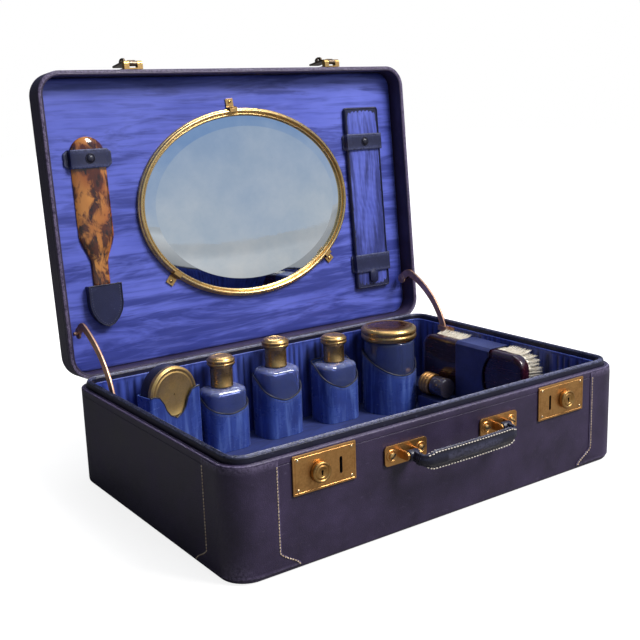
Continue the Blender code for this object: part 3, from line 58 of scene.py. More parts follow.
# Sizes that the solids share
CASE_WIDTH = 0.420
CASE_DEPTH = 0.2824
BASE_HEIGHT = 0.091
LID_HEIGHT = 0.0277
CORNER_RADIUS = 0.0218
WALL = 0.0046
GAP = 0.0003
FIT = 0.0004
RIM_GAP = 0.0004
BASE_FLOOR = 0.005
LID_RECESS = 0.018
LID_TOP = 0.003
LEATHER = 0.0014
FRONT_Y = -CASE_DEPTH / 2
HINGE_X = 0.125
HINGE_Y = CASE_DEPTH / 2 + 0.0005
HINGE_LEAF = 0.0010
KNUCKLE_ROOM = (0.0027, 0.0215)
LID_OPEN = math.radians(95)
RIM_OFFSET = WALL + GAP
RIM_THICKNESS = 0.0048
RIM_RISE = 0.0057
TRAY_OFFSET = RIM_OFFSET + RIM_THICKNESS + GAP
TRAY_WALL = 0.0016
FLOOR_Z = BASE_FLOOR + GAP + 0.0022
STAND_Z = FLOOR_Z + GAP
SEAT_W = LID_RECESS - GAP
STAY_PIVOT = (0.044, 0.009)
KEEPER = (0.084, 0.088)
REST_TOP = 0.0262
BRUSH_LEFT = 0.1670
BRUSH_TALL = 0.0600
SADDLE_FRONT = -0.0160
MOUNT_X = 0.0512
MOUNT_Z = 0.0680
MIRROR_CENTRE = (0.005, 0.1483)
MIRROR_HALF = (0.125, 0.0963)

# Locks
LOCK_X = 0.1295
LOCK_THICK = 0.0012
LOCK_FACE = FRONT_Y - GAP - LOCK_THICK
SLOT_PLACE = (0.1149, 0.0731)
SLOT_SIZE = (0.0026, 0.0134)
KNOB_X = 0.1347
KNOB_Z = 0.0730
STEM_PLACE = (KNOB_X + 0.002, KNOB_Z)
STEM_SIZE = (0.0096, 0.0056)

SIDES = (("left", -1), ("right", 1))
FRONT_AXES = np.array([(1, 0, 0), (0, 0, 1), (0, -1, 0)], float)
BACK_AXES = np.array([(-1, 0, 0), (0, 0, 1), (0, 1, 0)], float)


class Slot(Enum):
    """The record's material slots."""

    NAVY = "navy_leather"
    BLUE = "blue_leather"
    SILK = "blue_silk"
    MOIRE = "moire_silk"
    BRASS = "gilt_brass"
    GLASS = "clear_glass"
    MIRROR = "mirror_silver"
    SHELL = "tortoiseshell"
    WOOD = "oxblood_wood"
    BRISTLE = "white_bristle"


# Arrays


def unit(vectors: Array) -> Array:
    """Each vector at length 1."""
    return vectors / np.maximum(np.linalg.norm(vectors, axis=-1, keepdims=True), 1e-12)


def smooth(t: Array) -> Array:
    """Rises from 0 to 1 with level ends: t squared times (3 - 2 t)."""
    t = np.clip(t, 0.0, 1.0)
    return t * t * (3 - 2 * t)


def bell(x: Array, width: float) -> Array:
    """A bell of height 1: e to the power of minus (x / width) squared."""
    return np.exp(-((x / width) ** 2))


def waves(x: Array, parts: Sequence[tuple[float, float, float]]) -> Array:
    """Sum of height times sin(2 pi x / wavelength + phase), over parts of (height, wavelength, phase)."""
    return sum(height * np.sin(2 * math.pi * x / length + phase) for height, length, phase in parts)


def wander(n: int, seed: int) -> Array:
    """n fixed numbers from -1 to 1, the same in every run."""
    return np.random.default_rng(seed).uniform(-1.0, 1.0, n)


def round_turn(count: int) -> Array:
    """Evenly spread angles of a full turn."""
    return np.linspace(0, 2 * math.pi, count, endpoint=False)


def pair(x: Array, y: Array) -> Array:
    """Flat points from two arrays, or numbers, of matching shapes."""
    return np.stack(np.broadcast_arrays(x, y), axis=-1)


def stack3(x: Array, y: Array, z: Array) -> Array:
    """Points from three arrays, or numbers, of matching shapes."""
    return np.stack(np.broadcast_arrays(np.asarray(x, float), y, z), axis=-1)


def mm(*points: tuple[float, float], at: Sequence[float] = (0.0, 0.0)) -> Array:
    """Flat points given in millimetres from a place in metres."""
    return np.array(points, float) / 1000 + at


def joined(*parts: Any) -> Array:
    """One outline from points and stretches of points."""
    return np.concatenate([np.atleast_2d(np.asarray(part, float)) for part in parts])


def mirrored(half: Array) -> Array:
    """An outline that ends at x = 0, and then its mirror image back."""
    return np.concatenate([half, (half * (-1, 1))[::-1][1:]])


def rotated(y: Array, z: Array, angle: Array) -> tuple[Array, Array]:
    """A plane's two coordinates, turned by an angle."""
    c, s = np.cos(angle), np.sin(angle)
    return y * c - z * s, y * s + z * c


def lengths(line: Array) -> Array:
    """How far along a line each of its points lies."""
    return np.concatenate([[0.0], np.cumsum(np.linalg.norm(np.diff(line, axis=0), axis=1))])


def lid_place(points: Array) -> Array:
    """Turns lid coordinates into places at rest.

    A point (u, v, w) is u along the hinge, v from the hinge edge and w up from the rim plane of the closed
    lid. The lid is turned back about the hinge axis by its opening angle.

    Args:
        points: (u, v, w) in the last axis.

    Returns:
        (x, y, z) in the last axis.
    """
    points = np.asarray(points, float)
    y, z = rotated(CASE_DEPTH / 2 - points[..., 1] - HINGE_Y, RIM_GAP + points[..., 2], -LID_OPEN)
    return stack3(points[..., 0], y + HINGE_Y, z + BASE_HEIGHT)


def closed_lid(points: Array) -> Array:
    """Turns (x, y, height above the rim plane) of the closed lid into places at rest."""
    return lid_place(stack3(points[..., 0], CASE_DEPTH / 2 - points[..., 1], points[..., 2]))


LID_AXES = lid_place(np.diag([1.0, 1.0, -1.0])) - lid_place(np.zeros(3))
LID_OUT = unit(LID_AXES[2])


@dataclass(frozen=True)
class Plan:
    """A rounded rectangle as points and outward normals, evenly spread along its sides and corners.

    Moving each point in along its normal gives the outline at any inset, with its corners' radius less
    by the inset.
    """

    width: float
    depth: float
    radius: float
    corner_steps: int = 12
    side_steps: int = 12

    def loop(self) -> tuple[Array, Array]:
        """Points and normals, anticlockwise, as two (n, 2) arrays."""
        turn = np.linspace(-math.pi / 2, 0, self.corner_steps + 1)
        signs = np.array([(1, -1), (1, 1), (-1, 1), (-1, -1)])
        centres = signs * (self.width / 2 - self.radius, self.depth / 2 - self.radius)
        share = np.linspace(0, 1, self.side_steps + 1)[1:-1, None]
        points, normals = [], []
        for k, centre in enumerate(centres):
            angle = turn + k * math.pi / 2
            normal = pair(np.cos(angle), np.sin(angle))
            arc = centre + self.radius * normal
            ahead = centres[(k + 1) % 4] + self.radius * normal[-1]
            points += [arc, arc[-1] * (1 - share) + ahead * share]
            normals += [normal, np.repeat(normal[-1:], len(share), axis=0)]
        return np.concatenate(points), np.concatenate(normals)

    def walls(self, insets: Array, heights: Array) -> Array:
        """The plan carried along a profile.

        Args:
            insets: how far each ring lies inside the plan; (rings,) or (rings, points).
            heights: each ring's height; (rings,) or (rings, points).

        Returns:
            (rings, points, 3).
        """
        points, normals = self.loop()
        insets, heights = (v[:, None] if v.ndim == 1 else v for v in (insets, heights))
        flat = points[None] - normals[None] * insets[..., None]
        return stack3(flat[..., 0], flat[..., 1], heights)


CASE_PLAN = Plan(CASE_WIDTH, CASE_DEPTH, CORNER_RADIUS, 14, 24)


def nested(plan: Plan, profile: Array) -> Array:
    """Rings of ever smaller rounded rectangles, for insets larger than the corners' radius.

    Args:
        plan: the outermost outline.
        profile: (rings, 2) of how far each ring lies inside it and its height.

    Returns:
        (rings, points, 3).
    """
    rings = []
    for inset, height in profile:
        radius = max(plan.radius - inset, plan.radius * 0.2)
        small = replace(plan, width=plan.width - 2 * inset, depth=plan.depth - 2 * inset, radius=radius)
        rings.append(stack3(*small.loop()[0].T, height))
    return np.array(rings)


def round_edge(inset: float, height: float, radius: float, start: float, end: float, steps: int = 6) -> Array:
    """An arc of a profile.

    Args:
        inset: inset of the arc's centre.
        height: height of the arc's centre.
        radius: radius of the arc.
        start: first angle in degrees; 0 points outward from the plan, 90 up.
        end: last angle in degrees.
        steps: how many steps the arc takes.

    Returns:
        (steps + 1, 2) of (inset, height).
    """
    a = np.radians(np.linspace(start, end, steps + 1))
    return pair(inset - radius * np.cos(a), height + radius * np.sin(a))


def bead(radius: float, height: float, out: float, tall: float, reach: float = 80, steps: int = 8) -> Array:
    """A rounded rib of a turned profile.

    Args:
        radius: radius that it stands on.
        height: height of its middle.
        out: how far it stands out.
        tall: half its height.
        reach: angle in degrees from its middle to each end.
        steps: how many steps it takes.

    Returns:
        (steps + 1, 2) of (radius, height), going up.
    """
    a = np.radians(np.linspace(-reach, reach, steps + 1))
    return pair(radius + out * np.cos(a), height + tall * np.sin(a))


def path_frames(path: Array, up: Array, closed: bool = False) -> tuple[Array, Array, Array]:
    """Directions along a path.

    Args:
        path: (n, 3) points.
        up: one direction, or (n, 3) directions, that the second axis keeps nearest to.
        closed: True where the last point leads back to the first.

    Returns:
        Unit tangents, sideways directions and upward directions, each (n, 3).
    """
    ahead = np.roll(path, -1, axis=0) - np.roll(path, 1, axis=0) if closed else np.gradient(path, axis=0)
    tangent = unit(ahead)
    side = unit(np.cross(tangent, np.broadcast_to(up, path.shape)))
    return tangent, side, np.cross(side, tangent)


def resample(path: Array, spacing: float, closed: bool = False) -> Array:
    """Points at an even spacing along a path, by its length.

    Args:
        path: (n, 3) points.
        spacing: distance between the new points.
        closed: True where the last point leads back to the first.

    Returns:
        (m, 3) points.
    """
    line = np.concatenate([path, path[:1]]) if closed else path
    length = lengths(line)
    count = max(2, round(length[-1] / spacing))
    at = np.linspace(0, length[-1], count + 1)[: count if closed else count + 1]
    return np.stack([np.interp(at, length, line[:, k]) for k in range(3)], axis=-1)


@dataclass(frozen=True)
class Template:
    """A small shape to repeat: its points and its faces, grouped by how many corners they have."""

    points: Array
    faces: tuple[Array, ...]


def ring_faces(rows: int, columns: int) -> Array:
    """Faces of four corners between rings of points."""
    i, j = np.meshgrid(np.arange(rows - 1), np.arange(columns), indexing="ij")
    k = (j + 1) % columns
    corners = (i * columns + j, i * columns + k, (i + 1) * columns + k, (i + 1) * columns + j)
    return np.stack(corners, axis=-1).reshape(-1, 4)


def stitch_template(rows: int = 3, columns: int = 6, power: float = 0.6) -> Template:
    """A unit stitch: a blunt bead drawn out along X.

    A point at latitude a and longitude b is (sin a, cos a to the power times cos b, the same times sin b).

    Args:
        rows: rings between the poles.
        columns: points in each ring.
        power: below 1 for a blunter bead.

    Returns:
        The shape.
    """
    a = np.linspace(-math.pi / 2, math.pi / 2, rows + 2)[1:-1, None]
    b = round_turn(columns)
    body = stack3(np.sin(a), np.cos(a) ** power * np.cos(b), np.cos(a) ** power * np.sin(b))
    c = np.arange(columns)
    n = (c + 1) % columns
    top = (rows - 1) * columns
    low = np.stack([np.full(columns, rows * columns), n, c], axis=-1)
    high = np.stack([np.full(columns, rows * columns + 1), top + c, top + n], axis=-1)
    points = joined(body.reshape(-1, 3), (-1, 0, 0), (1, 0, 0))
    return Template(points, (ring_faces(rows, columns), np.concatenate([low, high])))


def dome_template(columns: int = 14) -> Template:
    """A unit pin head: a dome of radius 1 and height 0.6 on its plane, closed below."""
    a = np.radians([0.0, 0.0, 30.0, 55.0, 78.0])[:, None]
    height = 0.6 * np.sin(a) + np.array([[-0.5], [0], [0], [0], [0]])
    b = round_turn(columns)
    body = stack3(np.cos(a) * np.cos(b), np.cos(a) * np.sin(b), height)
    top = (len(a) - 1) * columns
    caps = np.stack([np.arange(columns)[::-1], top + np.arange(columns)])
    return Template(body.reshape(-1, 3), (ring_faces(len(a), columns), caps))


STITCH = stitch_template()
DOME = dome_template()


class MeshBuffer:
    """Collects grids and repeated shapes as whole arrays, then makes one mesh of them."""

    def __init__(self) -> None:
        """Starts empty."""
        self.points: list[Array] = []
        self.corners: list[Array] = []
        self.sizes: list[Array] = []
        self.uvs: list[Array] = []
        self.slots: list[Array] = []
        self.wear_and_painted_light: list[Array] = []
        self.count = 0

    def _faces(self, faces: Array, uv: Array, slot: int) -> None:
        """Stores faces of equal size, with their corners' UV."""
        self.corners.append((faces + self.count).ravel())
        self.sizes.append(np.full(len(faces), faces.shape[1]))
        self.uvs.append(uv.reshape(-1, 2))
        self.slots.append(np.full(len(faces), slot))

    def _points(self, points: Array, wear_and_painted_light: Array | float = 0.0) -> "MeshBuffer":
        """Stores the points of the faces just stored."""
        self.points.append(points)
        self.wear_and_painted_light.append(np.broadcast_to(np.asarray(wear_and_painted_light, float).ravel(), len(points)).copy())
        self.count += len(points)
        return self

    def grid(self, points: Array, around: bool = True, along: bool = False, slot: int = 0,
             wear_and_painted_light: Array | float = 0.0, last_slot: int | None = None) -> "MeshBuffer":
        """Adds a surface given as rows of points.

        A closed one is turned so that its faces point out, by the sign of its volume.

        Args:
            points: (rows, columns, 3).
            around: True where each row closes on itself.
            along: True where the last row joins the first; a face closes each end elsewhere.
            slot: material index of its faces.
            wear_and_painted_light: for each point, 0 to 1, how rubbed it is, and on some pieces how much
                painted light it carries.
            last_slot: material index of the last row's cap, if it isn't the faces'.

        Returns:
            The buffer itself.
        """
        rows, columns = points.shape[:2]
        counts = (np.arange(rows if along else rows - 1), np.arange(columns if around else columns - 1))
        i, j = np.meshgrid(*counts, indexing="ij")
        ii = np.stack([i, i, i + 1, i + 1], axis=-1).reshape(-1, 4)
        jj = np.stack([j, j + 1, j + 1, j], axis=-1).reshape(-1, 4)
        faces = (ii % rows) * columns + jj % columns
        wide = np.linalg.norm(np.roll(points, -1, axis=1) - points, axis=-1).mean(axis=0)
        tall = np.linalg.norm(np.roll(points, -1, axis=0) - points, axis=-1).mean(axis=1)
        u, v = (np.concatenate([[0.0], np.cumsum(step)]) for step in (wide, tall))
        uv = np.stack([u[jj], v[ii]], axis=-1)
        flat = points.reshape(-1, 3)
        ends = [np.arange(columns)[::-1], (rows - 1) * columns + np.arange(columns)] if not along else []
        if around:
            p = flat[faces]
            volume = (p[:, 0] * np.cross(p[:, 1], p[:, 2]) + p[:, 0] * np.cross(p[:, 2], p[:, 3])).sum()
            for q in (flat[ring] for ring in ends):
                volume += (q[:1] * np.cross(q[1:-1], q[2:])).sum()
            if volume < 0:
                faces, uv = faces[:, ::-1], uv[:, ::-1]
                ends = [ring[::-1] for ring in ends]
        self._faces(faces, uv, slot)
        for ring, shade in zip(ends if around else (), (slot, slot if last_slot is None else last_slot)):
            plane = flat[ring]
            keep = np.argsort(plane.max(axis=0) - plane.min(axis=0))[1:]
            self._faces(ring[None], plane[:, keep], shade)
        return self._points(flat, wear_and_painted_light)

    def shapes(self, points: Array, faces: tuple[Array, ...], slot: int = 0,
               plane: Array | None = None) -> "MeshBuffer":
        """Adds many small shapes that share their faces but not their points.

        Args:
            points: (n, corners, 3).
            faces: their faces, grouped by how many corners they have.
            slot: material index of the faces.
            plane: (corners, 2) UV of each point, if they have one.

        Returns:
            The buffer itself.
        """
        count, step = points.shape[:2]
        plane = np.zeros((step, 2)) if plane is None else plane
        for group in faces:
            every = (group[None] + (np.arange(count) * step)[:, None, None]).reshape(-1, group.shape[1])
            self._faces(every, np.tile(plane[group.ravel()], (count, 1)), slot)
        return self._points(points.reshape(-1, 3))

    def copies(self, template: Template, origins: Array, axes: Array, slot: int = 0) -> "MeshBuffer":
        """Repeats a small shape.

        Args:
            template: the shape.
            origins: (n, 3) places.
            axes: (3, 3) or (n, 3, 3), the shape's X, Y and Z directions as rows, scaled.
            slot: material index of its faces.

        Returns:
            The buffer itself.
        """
        axes = np.broadcast_to(axes, (len(origins), 3, 3))
        moved = origins[:, None] + np.einsum("kc,ncd->nkd", template.points, axes)
        return self.shapes(moved, template.faces, slot, template.points[:, :2])

    def make(self, name: str, materials: Sequence[Material], sharp: float = 35.0) -> Object:
        """Makes the mesh and its object.

        Args:
            name: the piece's name.
            materials: its materials, by slot.
            sharp: edges that turn by more than this many degrees stay sharp.

        Returns:
            The object, at the origin.
        """
        mesh = bpy.data.meshes.new(name)
        points = np.concatenate(self.points).astype(np.float32)
        corners = np.concatenate(self.corners).astype(np.int32)
        sizes = np.concatenate(self.sizes).astype(np.int32)
        mesh.vertices.add(len(points))
        mesh.vertices.foreach_set("co", points.ravel())
        mesh.loops.add(len(corners))
        mesh.loops.foreach_set("vertex_index", corners)
        mesh.polygons.add(len(sizes))
        starts = np.concatenate([[0], np.cumsum(sizes)[:-1]]).astype(np.int32)
        mesh.polygons.foreach_set("loop_start", starts)
        mesh.polygons.foreach_set("material_index", np.concatenate(self.slots).astype(np.int32))
        mesh.update(calc_edges=True)
        layer = mesh.uv_layers.new(name="surface")
        layer.uv.foreach_set("vector", np.concatenate(self.uvs).astype(np.float32).ravel())
        # The point attribute holds wear on the leather, painted shade in the tray's folds and painted
        # highlight on the bottles' shoulders.
        worn_and_painted_light = mesh.attributes.new("wear_and_painted_light", "FLOAT", "POINT")
        worn_and_painted_light.data.foreach_set("value", np.concatenate(self.wear_and_painted_light).astype(np.float32))
        mesh.validate()
        mesh.shade_smooth()
        mesh.set_sharp_from_angle(angle=math.radians(sharp))
        for material in materials:
            mesh.materials.append(material)
        piece = bpy.data.objects.new(name, mesh)
        bpy.context.scene.collection.objects.link(piece)
        return piece


def tube(path: Array, radius: float, up: Array, sides: int = 8, closed: bool = False) -> Array:
    """Rings of a round cord along a path.

    Args:
        path: (n, 3) points.
        radius: the cord's radius.
        up: reference direction, never along the path.
        sides: points in each ring.
        closed: True where the path closes on itself.

    Returns:
        (n, sides, 3).
    """
    _, side, lift = path_frames(path, up, closed)
    a = round_turn(sides)[:, None]
    return path[:, None] + radius * (side[:, None] * np.cos(a) + lift[:, None] * np.sin(a))


@dataclass(frozen=True)
class Seam:
    """How a row of stitches is sewn: their spacing, their length and half their thickness."""

    pitch: float
    length: float
    thick: float

    def sew(self, buffer: MeshBuffer, path: Array, out: Array, slot: int, closed: bool = False) -> None:
        """Sews a row along a path.

        Args:
            buffer: where the stitches go.
            path: (n, 3) line on the surface.
            out: direction away from the surface, one or one for each point.
            slot: material index of the thread.
            closed: True where the path closes on itself.
        """
        spots = resample(path, self.pitch, closed)
        out = np.asarray(out, float)
        if out.ndim == 2:
            out = out[np.linalg.norm(spots[:, None] - path[None], axis=-1).argmin(axis=1)]
        tangent, side, lift = path_frames(spots, out, closed)
        slant = unit(tangent + 0.10 * side)
        across = np.cross(lift, slant) * self.thick * 1.25
        axes = np.stack([slant * self.length / 2, across, lift * self.thick], axis=1)
        buffer.copies(STITCH, spots + lift * self.thick * 0.35, axes, slot)


CORNER_SEAM = Seam(0.0026, 0.0020, 0.00044)
GRIP_SEAM = Seam(0.0031, 0.0023, 0.00046)
STRAP_SEAM = Seam(0.0024, 0.0016, 0.00024)
HOLDER_SEAM = Seam(0.0025, 0.0016, 0.00022)


def lathe(profile: Array, centre: Sequence[float], steps: int = 72, axes: Array | None = None) -> Array:
    """Turns a profile about an axis.

    Args:
        profile: (n, 2) of (radius, height).
        centre: where height 0 of the axis lies.
        steps: points round the axis.
        axes: rows X, Y and Z of the turned piece; upright if left out.

    Returns:
        (n, steps, 3).
    """
    a = round_turn(steps)
    flat = stack3(profile[:, :1] * np.cos(a), profile[:, :1] * np.sin(a), profile[:, 1:])
    return (flat if axes is None else flat @ axes) + np.asarray(centre, float)


# Finishes


def srgb(red: float, green: float, blue: float) -> Colour:
    """Linear colour of an sRGB colour given from 0 to 255."""
    def line(c: float) -> float:
        c /= 255
        return c / 12.92 if c <= 0.04045 else ((c + 0.055) / 1.055) ** 2.4

    return line(red), line(green), line(blue)


def add_node(tree: bpy.types.NodeTree, kind: str, inputs: dict[Any, Any] | None = None,
             **settings: Any) -> bpy.types.Node:
    """Adds a node to a tree.

    Args:
        tree: the tree.
        kind: the node's type after ShaderNode.
        inputs: socket name or index to a value or an output socket.
        **settings: the node's own properties.

    Returns:
        The node.
    """
    node = tree.nodes.new("ShaderNode" + kind)
    for key, value in settings.items():
        setattr(node, key, value)
    for key, value in (inputs or {}).items():
        if isinstance(value, Socket):
            tree.links.new(value, node.inputs[key])
        else:
            node.inputs[key].default_value = value
    return node


class Surface:
    """Node tree of one material, written as a chain of small steps."""

    def __init__(self, name: str) -> None:
        """Starts a Principled material.

        Args:
            name: the material's name.
        """
        self.material = bpy.data.materials.new(name)
        self.material.use_nodes = True
        self.tree = self.material.node_tree
        self.shader = self.tree.nodes["Principled BSDF"]
        self.coordinates = self.tree.nodes.new("ShaderNodeTexCoord")

    def node(self, kind: str, inputs: dict[Any, Any] | None = None, **settings: Any) -> bpy.types.Node:
        """Adds a node to the material, as add_node does."""
        return add_node(self.tree, kind, inputs, **settings)

    def place(self, scale: Sequence[float] = (1, 1, 1)) -> Socket:
        """Object coordinates, scaled along each axis."""
        source = self.coordinates.outputs["Object"]
        return self.node("Mapping", {"Vector": source, "Scale": scale}).outputs[0]

    def noise(self, where: Socket, scale: float, detail: float = 3.0, rough: float = 0.55,
              bend: float = 0.0) -> Socket:
        """Noise as a number from 0 to 1."""
        values = {"Vector": where, "Scale": scale, "Detail": detail, "Roughness": rough, "Distortion": bend}
        return self.node("TexNoise", values).outputs[0]

    def cells(self, where: Socket, scale: float) -> Socket:
        """Distances to the middles of scattered cells."""
        return self.node("TexVoronoi", {"Vector": where, "Scale": scale}).outputs["Distance"]

    def bands(self, where: Socket, scale: float, bend: float, along: str) -> Socket:
        """Even bands that follow each other along one axis."""
        values = {"Vector": where, "Scale": scale, "Distortion": bend, "Detail": 1.0}
        return self.node("TexWave", values, wave_type="BANDS", bands_direction=along).outputs["Fac"]

    def span(self, value: Socket, low: float, high: float, to_low: float = 0.0,
             to_high: float = 1.0) -> Socket:
        """Maps one span of numbers to another, held at its ends."""
        values = {"Value": value, "From Min": low, "From Max": high, "To Min": to_low, "To Max": to_high}
        return self.node("MapRange", values).outputs[0]

    def sum(self, operation: str, a: Any, b: Any) -> Socket:
        """One step of arithmetic."""
        return self.node("Math", {0: a, 1: b}, operation=operation).outputs[0]

    def blend(self, share: Socket, a: Any, b: Any) -> Socket:
        """Mixes two colours, each plain or from nodes, by a share of the second."""
        first, second = (value if isinstance(value, Socket) else (*value, 1.0) for value in (a, b))
        return self.node("Mix", {0: share, 6: first, 7: second}, data_type="RGBA").outputs[2]

    def wear_and_painted_light(self) -> Socket:
        """The piece's own attribute of rubbed places and painted light, 0 where it has none."""
        return self.node("Attribute", attribute_name="wear_and_painted_light").outputs["Fac"]

    def colour(self, value: Socket) -> None:
        """Links the colour."""
        self.put("Base Color", value)

    def put(self, name: str, value: Any) -> None:
        """Sets or links one of the shader's sockets."""
        if isinstance(value, Socket):
            self.tree.links.new(value, self.shader.inputs[name])
        else:
            self.shader.inputs[name].default_value = value

    def relief(self, *layers: tuple[Socket, float, float]) -> None:
        """Stacks bumps.

        Args:
            *layers: (height, strength, distance in metres) of each.
        """
        normal = None
        for height, strength, distance in layers:
            values = {"Height": height, "Strength": strength, "Distance": distance}
            if normal is not None:
                values["Normal"] = normal
            normal = self.node("Bump", values).outputs[0]
        self.put("Normal", normal)


@dataclass(frozen=True)
class LeatherFinish:
    """Grained leather, paler and smoother where it is rubbed, with painted highlight and painted sheen where
    a piece sets them.
    """

    name: str
    colour: Colour
    dark: Colour
    worn_and_painted_light: Colour
    grain: float = 1500.0
    rough: float = 0.42
    depth: float = 0.0002
    sheen: float = 0.0
    satin: float = 0.0

    def build(self) -> Material:
        """Pebbled grain from cells, broken by noise, under broad colour drift, scuffs, and paler rubbed
        places that on the inner rim are also painted highlight.

        Where a sheen share is set, upright streaks of the paler and of the darker colour lie over the rest: a
        painted highlight and painted shade of a satin sheen.
        """
        s = Surface(self.name)
        where = s.place()
        pebbles = s.cells(where, self.grain)
        fine = s.noise(where, self.grain * 2.2, 2.0)
        drift = s.noise(where, 28.0, 4.0, 0.6)
        scuff = s.noise(s.place((1.0, 1.0, 3.0)), 160.0, 5.0, 0.72)
        marks = s.span(scuff, 0.60, 0.74)
        base = s.blend(s.span(drift, 0.35, 0.68, 0.30, 1.0), self.dark, self.colour)
        base = s.blend(s.span(pebbles, 0.10, 0.62, 0.55, 0.0), base, self.dark)
        base = s.blend(s.sum("MULTIPLY", marks, 0.30), base, self.worn_and_painted_light)
        # Painted sheen: upright streaks of the paler colour are painted highlight, and those of the darker
        # colour painted shade, as on satin leather.
        if self.satin:
            sheen_streaks = s.noise(s.place((1.0, 1.0, 0.10)), 150.0, 4.0, 0.6, 0.3)
            base = s.blend(s.span(sheen_streaks, 0.50, 0.70, 0.0, self.satin), base, self.worn_and_painted_light)
            base = s.blend(s.span(sheen_streaks, 0.46, 0.32, 0.0, self.satin), base, self.dark)
        # Rubbed places take the paler colour; on the inner rim's ridge tops this is also a painted highlight.
        rubbed_and_highlight = s.sum("MULTIPLY", s.wear_and_painted_light(), s.span(s.noise(where, 420.0, 4.0, 0.7), 0.36, 0.60))
        base = s.blend(rubbed_and_highlight, base, self.worn_and_painted_light)
        s.colour(base)
        rough = s.span(drift, 0.3, 0.7, self.rough - 0.05, self.rough + 0.07)
        s.put("Roughness", s.sum("ADD", rough, s.sum("MULTIPLY", marks, 0.12)))
        s.put("Specular IOR Level", 0.42)
        if self.sheen:
            s.put("Sheen Weight", self.sheen)
            s.put("Sheen Tint", (0.55, 0.62, 1.0, 1.0))
        s.relief((pebbles, 0.55, self.depth), (fine, 0.25, self.depth * 0.5), (drift, 0.20, 0.0006))
        return s.material


@dataclass(frozen=True)
class SilkFinish:
    """Woven silk with fine ribs; watered where it carries a moire figure, and painted darker where a piece
    marks its folds.
    """

    name: str
    colour: Colour
    dark: Colour
    pale: Colour
    watered: bool = False
    rough: float = 0.36
    upright: bool = False

    def build(self) -> Material:
        """Ribs from bands, and the watered figure from long noise bent along the ribs."""
        s = Surface(self.name)
        where = s.place()
        drawn, fine = (0.13, 1.0, 1.0), (0.07, 1.0, 1.0)
        if self.upright:
            drawn, fine = drawn[::-1], fine[::-1]
        figure = s.noise(s.place(drawn), 40.0, 5.0, 0.66, 0.55)
        thin = s.noise(s.place(fine), 210.0, 3.0, 0.6, 0.6)
        cloud = s.noise(where, 14.0, 3.0, 0.5)
        base = s.blend(s.span(cloud, 0.30, 0.70), self.colour, self.pale)
        if self.watered:
            streak = s.span(figure, 0.49, 0.58)
            base = s.blend(s.sum("MULTIPLY", streak, 0.80), base, self.dark)
            hair = s.span(thin, 0.50, 0.68)
            base = s.blend(s.sum("MULTIPLY", hair, 0.55), base, self.dark)
            light = s.span(thin, 0.46, 0.34)
            base = s.blend(s.sum("MULTIPLY", light, 0.40), base, self.pale)
        else:
            base = s.blend(s.span(thin, 0.45, 0.68, 0.0, 0.55), base, self.dark)
        ribs = s.bands(where, 620.0, 0.6, "X" if self.upright else "Z")
        warp = s.bands(where, 480.0, 0.4, "Z" if self.upright else "X")
        # Painted shade: the colour goes darker by the point attribute, which the tray's wall sets in the
        # folds of its pleats.
        base = s.blend(s.sum("MULTIPLY", s.wear_and_painted_light(), 0.85), base, self.dark)
        s.colour(s.blend(s.sum("MULTIPLY", ribs, 0.10), base, self.dark))
        s.put("Roughness", s.span(figure, 0.3, 0.7, self.rough - 0.06, self.rough + 0.10))
        s.put("Sheen Weight", 0.35)
        s.put("Sheen Roughness", 0.35)
        s.put("Sheen Tint", (0.70, 0.74, 1.0, 1.0))
        s.relief((ribs, 0.22, 0.00010), (warp, 0.12, 0.00008), (figure, 0.30, 0.0007))
        return s.material


@dataclass(frozen=True)
class MetalFinish:
    """Brass with fine scratches, and tarnish that gathers in patches."""

    name: str
    colour: Colour
    tarnish: Colour
    rough: float = 0.22
    aged: float = 0.35
    brushed: Sequence[float] = (1.0, 1.0, 1.0)

    def build(self) -> Material:
        """Noise drawn out along the brushing gives scratches; two sizes of noise give tarnish."""
        s = Surface(self.name)
        where = s.place()
        patch = s.noise(where, 95.0, 5.0, 0.65)
        spots = s.noise(where, 520.0, 3.0, 0.6)
        lines = s.noise(s.place(self.brushed), 900.0, 2.0, 0.5)
        old = s.span(s.sum("ADD", patch, s.sum("MULTIPLY", spots, 0.35)), 0.62, 0.86, 0.0, self.aged)
        base = s.blend(old, self.colour, self.tarnish)
        s.colour(s.blend(s.span(lines, 0.35, 0.75, 0.0, 0.12), base, self.tarnish))
        s.put("Metallic", 1.0)
        s.put("Roughness", s.sum("ADD", s.span(lines, 0.3, 0.7, self.rough - 0.05, self.rough + 0.07),
                                 s.sum("MULTIPLY", old, 0.30)))
        s.relief((lines, 0.10, 0.00005), (patch, 0.10, 0.0004))
        return s.material


